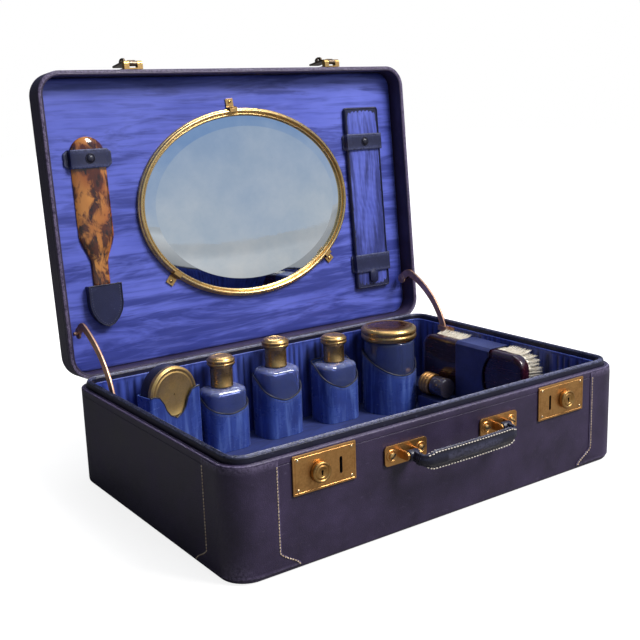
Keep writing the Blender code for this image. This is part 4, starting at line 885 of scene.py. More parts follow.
@dataclass(frozen=True)
class GlassFinish:
    """Old blown glass, slightly wavy and frosted with age; its pale frost is also a painted highlight where a
    piece marks it.
    """

    name: str
    tint: Colour
    clear: float = 0.97

    def build(self) -> Material:
        """Part clear and part frosted, with broad waves in its surface and an uneven shine."""
        s = Surface(self.name)
        where = s.place()
        swell = s.noise(where, 55.0, 2.0, 0.4)
        dust = s.noise(where, 620.0, 4.0, 0.7)
        frost_and_highlight = s.noise(s.place((1.0, 1.0, 0.4)), 150.0, 5.0, 0.7)
        # Pale frost where the point attribute is set: frosting, and a painted highlight on the bottles'
        # shoulders.
        bloom_and_highlight = s.sum("MULTIPLY", s.wear_and_painted_light(), s.span(frost_and_highlight, 0.22, 0.85))
        milk_dust_and_highlight = s.sum("MAXIMUM", bloom_and_highlight, s.span(dust, 0.60, 0.80, 0.0, 0.08))
        s.colour(s.blend(milk_dust_and_highlight, self.tint, (0.56, 0.58, 0.76)))
        s.put("Roughness", s.span(frost_and_highlight, 0.35, 0.75, 0.02, 0.12))
        s.put("Transmission Weight", s.span(bloom_and_highlight, 0.0, 1.0, self.clear, self.clear * 0.45))
        s.put("Coat Weight", 0.5)
        s.put("Coat Roughness", 0.05)
        s.put("IOR", 1.47)
        s.relief((swell, 0.22, 0.0012))
        return s.material


@dataclass(frozen=True)
class MirrorFinish:
    """Silvered glass with light wear in the silver and faint dust."""

    name: str

    def build(self) -> Material:
        """A clean metal, dulled by specks and by a broad haze."""
        s = Surface(self.name)
        where = s.place()
        haze = s.noise(where, 26.0, 4.0, 0.6)
        specks = s.noise(where, 900.0, 2.0, 0.5)
        tone = s.blend(s.span(haze, 0.35, 0.70), srgb(206, 218, 228), srgb(226, 232, 236))
        s.colour(s.blend(s.span(specks, 0.70, 0.80, 0.0, 0.35), tone, srgb(140, 146, 150)))
        s.put("Metallic", 1.0)
        s.put("Roughness", s.span(haze, 0.4, 0.75, 0.02, 0.075))
        s.relief((haze, 0.03, 0.002))
        return s.material


@dataclass(frozen=True)
class ShellFinish:
    """Tortoiseshell: amber with clouds of dark brown, highly polished."""

    name: str

    def build(self) -> Material:
        """Two noises bent into blots, and cells for the mottling between them."""
        s = Surface(self.name)
        where = s.place((1.0, 1.0, 0.55))
        blots = s.noise(where, 84.0, 4.0, 0.60, 0.45)
        mottle = s.cells(where, 240.0)
        glow = s.noise(where, 30.0, 2.0, 0.5)
        amber = s.blend(s.span(glow, 0.35, 0.65), srgb(142, 72, 26), srgb(200, 136, 62))
        brown = s.blend(s.span(mottle, 0.1, 0.7), srgb(30, 12, 8), srgb(78, 32, 14))
        s.colour(s.blend(s.span(blots, 0.44, 0.54), amber, brown))
        s.put("Roughness", 0.14)
        s.put("Coat Weight", 0.6)
        s.put("Coat Roughness", 0.06)
        s.put("Subsurface Weight", 0.06)
        s.put("Subsurface Radius", (0.004, 0.002, 0.001))
        s.relief((glow, 0.08, 0.0006))
        return s.material


@dataclass(frozen=True)
class WoodFinish:
    """Dark polished wood of the brush backs."""

    name: str

    def build(self) -> Material:
        """Grain from noise drawn out along the brush, under a clear polish."""
        s = Surface(self.name)
        grain = s.noise(s.place((1.0, 0.14, 1.0)), 260.0, 5.0, 0.6, 0.4)
        drift = s.noise(s.place(), 34.0, 2.0, 0.5)
        base = s.blend(s.span(grain, 0.34, 0.66), srgb(30, 9, 17), srgb(58, 18, 30))
        s.colour(s.blend(s.span(drift, 0.35, 0.7, 0.0, 0.4), base, srgb(22, 8, 14)))
        s.put("Roughness", s.span(grain, 0.3, 0.7, 0.20, 0.30))
        s.put("Coat Weight", 0.7)
        s.put("Coat Roughness", 0.10)
        s.relief((grain, 0.06, 0.0003))
        return s.material


@dataclass(frozen=True)
class ThreadFinish:
    """Thread or bristle: a matt strand that varies from strand to strand."""

    name: str
    colour: Colour
    dark: Colour
    rough: float = 0.62

    def build(self) -> Material:
        """Colour drifts over a few strands, with a fine twist in the surface."""
        s = Surface(self.name)
        where = s.place()
        drift = s.noise(where, 240.0, 3.0, 0.6)
        twist = s.noise(where, 2600.0, 1.0, 0.5)
        s.colour(s.blend(s.span(drift, 0.36, 0.66), self.dark, self.colour))
        s.put("Roughness", s.span(twist, 0.3, 0.7, self.rough - 0.06, self.rough + 0.08))
        s.put("Sheen Weight", 0.2)
        s.relief((twist, 0.25, 0.0001))
        return s.material


@dataclass(frozen=True)
class RecessShadeFinish:
    """Painted shade for the inside of a slot, a recess or a keyhole."""

    name: str

    def build(self) -> Material:
        """Nearly black painted shade, with a trace of dust."""
        s = Surface(self.name)
        dust = s.noise(s.place(), 500.0, 3.0)
        s.colour(s.blend(dust, (0.004, 0.004, 0.005), (0.018, 0.014, 0.012)))
        s.put("Roughness", s.span(dust, 0.3, 0.7, 0.6, 0.8))
        return s.material


def made(kind: type, name: str, *tones: tuple[int, int, int], **rest: Any) -> Material:
    """Builds one finish.

    Args:
        kind: the finish's class.
        name: the material's name.
        *tones: its colours in sRGB, from 0 to 255.
        **rest: its other values.

    Returns:
        The material.
    """
    return kind(name, *(srgb(*tone) for tone in tones), **rest).build()


class Finishes:
    """Every finish of the case, built once."""

    def __init__(self) -> None:
        """Builds the materials."""
        self.navy = made(LeatherFinish, "case_leather", (61, 50, 80), (34, 27, 46), (108, 98, 128),
                         grain=1350.0,
                         rough=0.40)
        # The edge leather's paler colour also paints the highlight along the inner rim's ridges.
        self.edge = made(LeatherFinish, "edge_leather", (34, 34, 56), (18, 17, 30), (118, 122, 160),
                         grain=1700.0,
                         rough=0.34)
        self.handle = made(LeatherFinish, "handle_leather", (34, 34, 54), (18, 17, 28), (88, 88, 112),
                           grain=1500.0, rough=0.30)
        # The holder leather carries a painted sheen: upright streaks of painted highlight and painted shade.
        self.blue = made(LeatherFinish, "holder_leather", (54, 78, 158), (30, 44, 108), (104, 132, 204),
                         grain=2100.0, rough=0.25, depth=0.00006, sheen=0.12, satin=0.5)
        self.saddle = made(LeatherFinish, "saddle_leather", (62, 70, 124), (34, 38, 76), (104, 114, 168),
                           grain=1900.0, rough=0.34)
        self.strap = made(LeatherFinish, "strap_leather", (30, 34, 72), (16, 18, 42), (84, 92, 136),
                          grain=1900.0, rough=0.38)
        self.silk = made(SilkFinish, "tray_silk", (48, 66, 158), (12, 16, 54), (84, 104, 196), upright=True)
        self.floor = made(SilkFinish, "tray_floor", (28, 42, 100), (16, 22, 60), (38, 54, 118), rough=0.55)
        self.moire = made(SilkFinish, "watered_silk", (74, 86, 182), (32, 44, 126), (102, 114, 212),
                          watered=True)
        self.ruched = made(SilkFinish, "ruched_silk", (60, 72, 164), (26, 34, 96), (92, 104, 198),
                           watered=True,
                           upright=True)
        self.plate = made(MetalFinish, "plate_brass", (210, 158, 96), (140, 94, 50), rough=0.35, aged=0.50,
                          brushed=(1.0, 8.0, 8.0))
        self.bright = made(MetalFinish, "bright_brass", (214, 172, 108), (128, 90, 46), rough=0.28, aged=0.50)
        self.knob = made(MetalFinish, "knob_brass", (196, 150, 88), (92, 62, 32), rough=0.30, aged=0.70)
        self.gilt = made(MetalFinish, "gilt_disc", (236, 196, 122), (152, 114, 62), rough=0.36, aged=0.50,
                         brushed=(9.0, 1.0, 9.0))
        self.frame = made(MetalFinish, "mirror_brass", (222, 188, 128), (132, 102, 58), rough=0.26, aged=0.50)
        self.stay = made(MetalFinish, "stay_brass", (228, 184, 152), (140, 100, 78), rough=0.42, aged=0.45)
        self.steel = made(MetalFinish, "dark_metal", (120, 104, 88), (58, 48, 42), rough=0.34, aged=0.60)
        self.pin = made(MetalFinish, "pin_head", (224, 196, 152), (150, 116, 74), rough=0.22, aged=0.30)
        self.cap_top = made(MetalFinish, "cap_top", (176, 116, 72), (96, 56, 34), rough=0.24, aged=0.50)
        self.glass = made(GlassFinish, "bottle_glass", tint=(0.24, 0.32, 0.78), clear=0.88)
        self.dark_glass = made(GlassFinish, "vial_glass", tint=(0.07, 0.06, 0.08), clear=0.35)
        self.mirror = made(MirrorFinish, "silvered_glass")
        self.shell = made(ShellFinish, "tortoise")
        self.wood = made(WoodFinish, "brush_wood")
        self.stitch = made(ThreadFinish, "tan_thread", (226, 208, 180), (178, 152, 122))
        self.pale_thread = made(ThreadFinish, "pale_thread", (240, 234, 224), (204, 192, 176))
        self.navy_thread = made(ThreadFinish, "navy_thread", (70, 72, 104), (40, 40, 66))
        self.bristle = made(ThreadFinish, "bristle", (238, 234, 224), (206, 198, 182), rough=0.50)
        # Painted shade: the sides of every carved slot, recess and keyhole, and the slots of the screw heads.
        self.dark = made(RecessShadeFinish, "slot_painted_shade")


def finish_piece(piece: Object, body: str, replaces: Sequence[str] = ()) -> Object:
    """Gives a piece its body and the solids that it stands for, and reports it.

    Args:
        piece: the new object.
        body: the body that it rides on.
        replaces: names of solids that it stands for.

    Returns:
        The piece.
    """
    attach(piece, body)
    if replaces:
        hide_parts(*replaces)
    LOG.info("%s: %d faces on %s", piece.name, len(piece.data.polygons), body)
    return piece


def dress_node(name: str, material: Material, edge: float = 0.0002) -> None:
    """Gives a solid that is kept its finish and slightly rounded edges.

    Args:
        name: the solid's name.
        material: its material.
        edge: width of its rounded edges, in metres.
    """
    node = NODES[name]
    node.data.materials.clear()
    node.data.materials.append(material)
    weld = node.modifiers.new("joined", "WELD")
    weld.merge_threshold = 0.00001
    rounded = node.modifiers.new("rounded", "BEVEL")
    rounded.width = edge
    rounded.segments = 2
    rounded.limit_method = "ANGLE"
    rounded.angle_limit = math.radians(40)
    rounded.use_clamp_overlap = True
    LOG.info("%s: kept", name)


def carve(piece: Object, *cutters: Object) -> None:
    """Cuts shapes out of a piece for good; the cut's sides take the cutter's material.

    Args:
        piece: the piece.
        *cutters: closed shapes, which are removed afterwards.
    """
    # The cutters carry the recess finish, so the cut's sides are painted shade.
    for cutter in cutters:
        step = piece.modifiers.new(cutter.name, "BOOLEAN")
        step.operation = "DIFFERENCE"
        step.solver = "EXACT"
        step.material_mode = "TRANSFER"
        step.object = cutter
    bpy.context.view_layer.update()
    seen = piece.evaluated_get(bpy.context.evaluated_depsgraph_get())
    mesh = bpy.data.meshes.new_from_object(seen)
    old = piece.data
    piece.modifiers.clear()
    piece.data = mesh
    bpy.data.meshes.remove(old)
    mesh.name = piece.name
    for cutter in cutters:
        shape = cutter.data
        bpy.data.objects.remove(cutter)
        bpy.data.meshes.remove(shape)
    mesh.set_sharp_from_angle(angle=math.radians(35))


def front(points: Array, x: float, z: float) -> Array:
    """Stands a flat-lying shape on the front: its second axis goes up and its height toward the viewer."""
    return stack3(x + points[..., 0], FRONT_Y - GAP - points[..., 2], z + points[..., 1])


def cut_shape(ring: Array, first: Sequence[float], last: Sequence[float],
              material: Material) -> Object:
    """A closed shape from one ring in two places, for carving."""
    return MeshBuffer().grid(np.stack([ring + first, ring + last])).make("cutter", [material])


def lock_cutter(side: int, place: tuple[float, float], size: tuple[float, float], through: float,
                material: Material) -> Object:
    """An opening with round ends in the front of the case, at one lock.

    Args:
        side: -1 or 1.
        place: how far its middle is from the case's middle, and how high.
        size: its width and height.
        through: how far it reaches behind the front.
        material: material of its sides.

    Returns:
        The cutter.
    """
    points, _ = Plan(*size, min(size) * 0.48, 6, 2).loop()
    ring = stack3(side * place[0] + points[:, 0], 0.0, place[1] + points[:, 1])
    return cut_shape(ring, (0, LOCK_FACE - 0.001, 0), (0, FRONT_Y + through, 0), material)


def bar_cutter(centre: Array, radius: float, half: float, material: Material) -> Object:
    """A round bar along X, for carving."""
    a = round_turn(24)
    ring = centre + stack3(0.0, radius * np.cos(a), radius * np.sin(a))
    return cut_shape(ring, (-half, 0, 0), (half, 0, 0), material)


def hinge_recess(side: int, material: Material) -> Object:
    """Room for a back hinge's knuckles."""
    return bar_cutter(np.array([side * HINGE_X, HINGE_Y, BASE_HEIGHT]), *KNUCKLE_ROOM, material)


@dataclass
class CaseBody:
    """The base: covered body, ridged inner rim, silk tray and stitched corners."""

    finishes: Finishes
    bottom_round: float = 0.0037
    corner_reach: float = 0.040
    foot_reach: float = 0.0173
    foot_height: float = 0.015
    corner_thick: float = 0.0007
    corner_border: float = 0.0017
    slot_depth: float = 0.0085
    stem_depth: float = 0.003

    def slots(self, place: tuple[float, float], size: tuple[float, float], depth: float) -> list[Object]:
        """Cutters of one opening at both locks."""
        return [lock_cutter(side, place, size, depth, self.finishes.dark) for _, side in SIDES]

    def shell(self) -> Object:
        """Covered body with a tooled line below its rounded top edge.

        Returns:
            The piece.
        """
        r = self.bottom_round
        top = BASE_HEIGHT
        profile = joined(
            round_edge(r, r, r, -90, 0, 8),
            mm((0, 30), (0, 60)),
            mm((0, -6.2), (0.28, -6.0), (0.28, -5.5), (0, -5.3), (0, -2.0), at=(0, top)),
            round_edge(0.0011, top - 0.0011, 0.0011, 0, 90, 5),
            mm((1.8, 0), (2.0, -0.3), (2.4, -0.3), (2.6, 0), at=(0, top)),
            [(WALL - 0.0005, top), (WALL, top - 0.0005), (WALL, 0.06), (WALL, BASE_FLOOR)],
        )
        inset, height = profile.T
        _, normal = CASE_PLAN.loop()
        corner = (np.abs(normal).min(axis=1) > 0.05).astype(float)
        edge = bell(height - top, 0.0016) + 0.7 * bell(height, 0.0022)
        wear_and_painted_light = np.clip(edge[:, None] * (0.55 + 0.35 * corner), 0, 1) * (inset < 0.002)[:, None]
        buffer = MeshBuffer().grid(CASE_PLAN.walls(inset, height), wear_and_painted_light=wear_and_painted_light)
        piece = buffer.make("case_body", [self.finishes.navy, self.finishes.dark], 40)
        slots = self.slots(SLOT_PLACE, SLOT_SIZE, self.slot_depth)
        stems = self.slots(STEM_PLACE, STEM_SIZE, self.stem_depth)
        carve(piece, *slots, *stems, *(hinge_recess(side, self.finishes.dark) for _, side in SIDES))
        return finish_piece(piece, "base", ["base_shell"])

    def rim(self) -> Object:
        """Inner frame whose top carries three fine ridges.

        Returns:
            The piece.
        """
        top = BASE_HEIGHT + RIM_RISE
        shoulder = top - 0.0018
        a, b = RIM_OFFSET, RIM_OFFSET + RIM_THICKNESS
        t = np.linspace(0, 1, 37)
        crown = np.minimum(1, 1 - np.abs(2 * t - 1) ** 5)
        ridge = shoulder + 0.0013 * crown + 0.00055 * np.cos(2 * math.pi * 3 * t + math.pi) * crown
        down = np.array([(a, BASE_FLOOR + GAP), (a, 0.05), (a, top - 0.0020)])
        up = (down + (b - a, 0))[::-1]
        profile = joined(down, pair(a + (b - a) * t, ridge), up)
        rings = CASE_PLAN.walls(*profile.T)
        # Wear and painted highlight: the ridge tops take the edge leather's paler colour by their height.
        wear_and_painted_light = 0.75 * np.clip((profile[:, 1:] - shoulder) / 0.0018, 0, 1) * np.ones(rings.shape[1])
        buffer = MeshBuffer().grid(rings, along=True, wear_and_painted_light=wear_and_painted_light)
        piece = buffer.make("inner_rim", [self.finishes.edge, self.finishes.dark], 50)
        carve(piece, *self.slots(SLOT_PLACE, SLOT_SIZE, self.slot_depth))
        return finish_piece(piece, "base", ["base_rim"])

    def tray(self) -> Object:
        """Silk tray with gathered walls.

        The wall is pushed out by folds along its length: |sin| of the length, with a wandering phase, opens
        below the hem and dies out at the floor.

        Returns:
            The piece.
        """
        plan = Plan(CASE_WIDTH, CASE_DEPTH, CORNER_RADIUS, 40, 260)
        points, normals = plan.loop()
        inner = points - normals * (TRAY_OFFSET + TRAY_WALL)
        s = lengths(np.concatenate([inner, inner[:1]]))
        whole, s = s[-1], s[:-1]
        phase = waves(s, [(0.9, whole / 9, 0.3), (0.6, whole / 23, 1.1), (0.5, whole / 41, 2.0)])
        fold = 1 - np.abs(np.sin(math.pi * round(whole / 0.0088) * s / whole + phase))
        minor = 0.5 + 0.5 * np.sin(2 * math.pi * round(whole / 0.0031) * s / whole + 2 * phase)
        top = BASE_HEIGHT + 0.0005
        hem = top - np.array([0.0010, 0.0018, 0.0024, 0.0034])
        z = np.concatenate([hem, np.linspace(top - 0.006, FLOOR_Z + 0.002, 12), [FLOOR_Z]])[:, None]
        down = (top - z) / (top - FLOOR_Z)
        tight = bell(top - z - 0.0024, 0.0012)
        opened = smooth(down / 0.10) * (1 - 0.55 * smooth((down - 0.72) / 0.28))
        sway = 0.8 + 0.2 * np.sin(9 * down + phase * 2)
        depth = 0.00105 * opened * fold * sway + 0.00022 * minor * (0.4 + 0.6 * down) + 0.0003 * tight
        inset = TRAY_OFFSET + TRAY_WALL + 0.0001 - np.minimum(depth, 0.0013)
        lip = mm((0, -0.6), (0.3, -0.1), (0.8, 0), (1.3, -0.2), (1.6, -0.6), at=(TRAY_OFFSET, top))
        outer = joined((TRAY_OFFSET, BASE_FLOOR + GAP), (TRAY_OFFSET, 0.05), lip)
        insets = np.concatenate([np.repeat(outer[:, :1], len(points), axis=1), inset])
        # Painted shade: the colour is darkened in the folds of the pleats and in the gathers under the hem,
        # through the point attribute.
        shade = np.zeros_like(insets)
        shade[len(outer):] = np.clip((fold * 1.7 - 0.15) * opened * sway + 0.25 * minor * tight, 0, 1)
        rings = plan.walls(insets, np.concatenate([outer[:, 1], z[:, 0]]))
        buffer = MeshBuffer().grid(rings, last_slot=1, wear_and_painted_light=shade)
        piece = buffer.make("silk_tray", [self.finishes.silk, self.finishes.floor], 60)
        return finish_piece(piece, "base", ["base_lining"])

    def around(self, s: Array, out: Array | float, z: Array, side: int) -> Array:
        """Places outside the case: straight along the front, round its corner, straight along the side.

        Args:
            s: distance from the front end of a corner leather.
            out: distance outside the case.
            z: height.
            side: -1 or 1.

        Returns:
            (..., 3).
        """
        past = s - (self.corner_reach - CORNER_RADIUS)
        a = np.clip(past / CORNER_RADIUS, 0, math.pi / 2)
        reach = CORNER_RADIUS + out
        x = CASE_WIDTH / 2 - CORNER_RADIUS + reach * np.sin(a) + np.minimum(past, 0)
        beyond = np.maximum(past - CORNER_RADIUS * math.pi / 2, 0)
        y = FRONT_Y + CORNER_RADIUS - reach * np.cos(a) + beyond
        return stack3(side * x, y, z)

    def corner(self, name: str, side: int) -> Object:
        """Corner leather with an ogee foot, a raised edge and a row of stitches along each seam.

        Its ends flare at the foot by t squared times (3 - 2 t).

        Args:
            name: left or right.
            side: -1 or 1.

        Returns:
            The piece.
        """
        low, high = self.bottom_round + 0.0002, BASE_HEIGHT - 0.0014
        ankle = low + self.foot_height
        whole = 2 * (self.corner_reach - CORNER_RADIUS) + CORNER_RADIUS * math.pi / 2
        z = np.concatenate([np.linspace(low, ankle, 22), np.linspace(ankle, high, 14)[1:]])[:, None]
        flare = self.foot_reach * smooth((ankle - z) / self.foot_height)
        edge = np.array([0.0, 0.0004, 0.0010, 0.0017, 0.0024])
        t = np.concatenate([edge, np.linspace(0.006, whole - 0.006, 40), whole - edge[::-1]])
        s = t / whole * (whole + 2 * flare) - flare
        near = np.minimum(np.minimum(s + flare, whole + flare - s), np.minimum(high - z, z - low))
        groove = 0.00016 * bell(near - 0.0028, 0.0004)
        rise = self.corner_thick * (0.35 + 0.65 * smooth(near / 0.0007)) - groove
        outer = self.around(s, GAP + rise, z, side)
        under = self.around(s, GAP, z, side)
        toe = bell(s - whole / 2, 0.010) * bell(z - low, 0.012)
        wear_and_painted_light = np.clip(0.8 * bell(near, 0.0016) + 0.6 * toe, 0, 1)
        rows = np.concatenate([outer, under[:, ::-1]], axis=1)
        buffer = MeshBuffer().grid(rows, wear_and_painted_light=np.concatenate([wear_and_painted_light, 0 * wear_and_painted_light], axis=1))
        seams = ((self.corner_border - flare, (0, -1, 0)), (whole + flare - self.corner_border, (side, 0, 0)))
        inner = (z[:, 0] > low + 0.001) & (z[:, 0] < high - 0.001)
        for seam, outward in seams:
            path = self.around(seam, GAP + self.corner_thick, z, side)[inner, 0]
            CORNER_SEAM.sew(buffer, path[::-1], outward, 1)
        piece = buffer.make(f"corner_leather_{name}", [self.finishes.navy, self.finishes.stitch])
        return finish_piece(piece, "base", [f"corner_{name}"])

    def build(self) -> None:
        """Makes every piece of the base's body."""
        self.shell()
        self.rim()
        self.tray()
        for name, side in SIDES:
            self.corner(name, side)


@dataclass
class Locks:
    """Lock plates with pins, and the round sliding knobs."""

    finishes: Finishes
    width: float = 0.0578
    height: float = 0.0308
    below_top: float = 0.0017
    pin_radius: float = 0.0013
    pin_offset: tuple[float, float] = (0.0246, 0.0115)

    def middle(self) -> float:
        """Height of the plates' middle."""
        return BASE_HEIGHT - self.below_top - self.height / 2

    def plate(self, name: str, side: int) -> Object:
        """Plate with a rounded edge, an engraved border and its openings.

        Args:
            name: left or right.
            side: -1 or 1.

        Returns:
            The piece.
        """
        edge = mm((0.3, 0), (0, 0.2))
        face = mm((0, -0.3), (0.1, -0.1), (0.4, 0), (1.6, 0), (1.8, -0.22), (2.1, -0.22), (2.3, 0), (6.0, 0),
                  at=(0, LOCK_THICK))
        rings = nested(Plan(self.width, self.height, 0.0009, 5, 10), joined(edge, face))
        buffer = MeshBuffer().grid(front(rings, side * LOCK_X, self.middle()))
        piece = buffer.make(f"lock_face_{name}", [self.finishes.plate, self.finishes.dark])
        openings = ((SLOT_PLACE, SLOT_SIZE), (STEM_PLACE, STEM_SIZE))
        carve(piece, *(lock_cutter(side, place, size, 0.001, self.finishes.dark) for place, size in openings))
        return finish_piece(piece, "base", [f"lock_plate_{name}"])

    def pins(self) -> Object:
        """Domed pins at the plates' corners.

        Returns:
            The piece.
        """
        dx, dz = self.pin_offset
        spots = np.array([(side * LOCK_X + i * dx, LOCK_FACE, self.middle() + j * dz)
                          for _, side in SIDES for i in (-1, 1) for j in (-1, 1)])
        buffer = MeshBuffer().copies(DOME, spots, FRONT_AXES * self.pin_radius)
        return finish_piece(buffer.make("lock_pins", [self.finishes.pin]), "base")

    def knob(self, name: str, side: int) -> Object:
        """Turned knob with concentric rings, a keyhole and a small pin.

        Args:
            name: left or right.
            side: -1 or 1.

        Returns:
            The piece.
        """
        profile = mm((2.4, -4.1), (2.4, 0.3), (7.8, 0.3), (8.2, 0.5), (8.4, 1.0), (8.4, 3.0), (8.2, 3.8),
                     (7.7, 4.4),
                     (7.1, 4.6), (6.5, 4.4), (6.1, 4.0), (5.8, 3.8), (5.5, 3.9), (5.1, 4.3), (4.6, 4.5),
                     (4.1, 4.4),
                     (3.7, 4.0), (3.4, 3.8), (2.0, 3.8))
        centre = np.array([side * KNOB_X, LOCK_FACE, KNOB_Z])
        buffer = MeshBuffer().grid(lathe(profile, centre, 72, FRONT_AXES))
        buffer.copies(DOME, centre[None] + (-0.0049, -0.0043, 0.0044), FRONT_AXES * 0.0007)
        piece = buffer.make(f"knob_{name}", [self.finishes.knob, self.finishes.dark])
        a = np.radians(np.linspace(-50, 230, 15))
        hole = joined(pair(0.0011 * np.cos(a), 0.0011 * np.sin(a) + 0.0008), mm((-0.6, -2.2), (0.6, -2.2)))
        ring = stack3(centre[0] + hole[:, 0], LOCK_FACE, KNOB_Z + hole[:, 1])
        # The keyhole's sides are painted shade.
        carve(piece, cut_shape(ring, (0, -0.006, 0), (0, -0.0022, 0), self.finishes.dark))
        return finish_piece(piece, f"{name}_knob", [f"lock_knob_{name}"])

    def build(self) -> None:
        """Makes plates, pins and knobs."""
        for name, side in SIDES:
            self.plate(name, side)
            self.knob(name, side)
        self.pins()


def grip_line(mount_x: float, depth: float, bend: float, eye: float) -> tuple[Array, Array]:
    """Centre line of the handle as (x, distance from its axis), and how far along each half it is.

    It leaves each eye straight, turns through a quarter circle and bows slightly outward in the middle.

    Args:
        mount_x: where its eyes are, from the middle.
        depth: distance of its middle from the axis.
        bend: radius of its quarter circles.
        eye: distance from the axis at which it starts.

    Returns:
        (n, 2) line from the left eye to the right, and its headings as unit outward directions (n, 2).
    """
    a = np.linspace(math.pi, math.pi / 2, 12)
    arc = pair(bend - mount_x + bend * np.cos(a), depth - bend + bend * np.sin(a))
    share = np.linspace(0.80, 0, 24)
    bow = pair(-mount_x * share, depth + 0.0008 * (1 - (share / 0.8) ** 2))
    line = mirrored(joined((-mount_x, eye), (-mount_x, (eye + depth - bend) / 2), arc, bow))
    tangent = unit(np.gradient(line, axis=0))
    return line, pair(-tangent[:, 1], tangent[:, 0])


@dataclass
class Handle:
    """Padded leather handle: a ridge between two rows of stitches, with wrapped ends on brass pins."""

    finishes: Finishes
    axis_out: float = 0.0095
    depth: float = 0.0140
    width: float = 0.0178
    end_width: float = 0.0096
    thick: float = 0.0070
    thin: float = 0.0016
    bend: float = 0.008
    eye: float = 0.0026
    droop: float = math.radians(12)

    def place(self, points: Array) -> Array:
        """Swings (x, y, z) about the pins' axis by the droop."""
        y, z = rotated(points[..., 1], points[..., 2], self.droop)
        return stack3(points[..., 0], y + FRONT_Y - self.axis_out, z + MOUNT_Z)

    def build(self) -> Object:
        """Makes the grip.

        A section is b across and n thick: flat at its edges, and raised toward the middle by t squared
        times (3 - 2 t) of the distance from the edge.

        Returns:
            The piece.
        """
        line, out = grip_line(MOUNT_X, self.depth, self.bend, self.eye)
        share = np.clip((MOUNT_X - np.abs(line[:, :1])) / (MOUNT_X * 0.42), 0, 1)
        half = (self.end_width + (self.width - self.end_width) * smooth(share * 1.9)) / 2
        rib = self.thick / 2 * (0.80 + 0.20 * share)

        def surface(b: Array | float, body: Array | float, bump: Array | float, sign: Array | float) -> Array:
            """Places at b across the grip, by their shares of the edge's and of the ridge's thickness."""
            n = sign * (self.thin * body + (rib - self.thin) * bump)
            return self.place(stack3(line[:, :1] + out[:, :1] * n, -(line[:, 1:] + out[:, 1:] * n), half * b))

        a = round_turn(40)
        across = np.cos(a)
        body = np.sqrt(np.clip(1 - np.abs(across) ** 7, 0, 1))
        bump = smooth((0.66 - np.abs(across)) / 0.52)
        skin = surface(across, body, bump, np.where(np.sin(a) >= 0, 1.0, -0.80))
        wear_and_painted_light = np.clip(np.abs(across) ** 6 * 0.5 + 0.5 * bump * (np.abs(line[:, :1]) < 0.03), 0, 1)
        buffer = MeshBuffer().grid(skin, wear_and_painted_light=wear_and_painted_light)
        last = len(line) - 1
        for b, sign in ((-0.84, 1.0), (-0.84, -0.80), (0.84, 1.0), (0.84, -0.80)):
            path, above = (surface(b, body, 0.0, sign)[10:last - 9, 0] for body in (0.94, 1.9))
            GRIP_SEAM.sew(buffer, path, unit(above - path), 1)
        middles = skin.mean(axis=1)
        for k in (3, 4, 5, last - 3, last - 4, last - 5):
            loop = skin[k] + (skin[k] - middles[k]) * 0.03
            ring = tube(loop, 0.00055, unit(middles[k + 1] - middles[k - 1]), closed=True)
            buffer.grid(ring, along=True, slot=2)
        eye = mm((1.8, -4.8), (3.8, -4.8), (4.2, -4.2), (4.2, 4.2), (3.8, 4.8), (1.8, 4.8))
        axes = np.array([(0, 1, 0), (0, 0, 1), (1, 0, 0)], float)
        for _, side in SIDES:
            buffer.grid(lathe(eye, (side * MOUNT_X, FRONT_Y - self.axis_out, MOUNT_Z), 28, axes), along=True)
        piece = buffer.make("handle", [self.finishes.handle, self.finishes.pale_thread, self.finishes.edge],
                            50)
        return finish_piece(piece, "handle", ["handle_grip"])


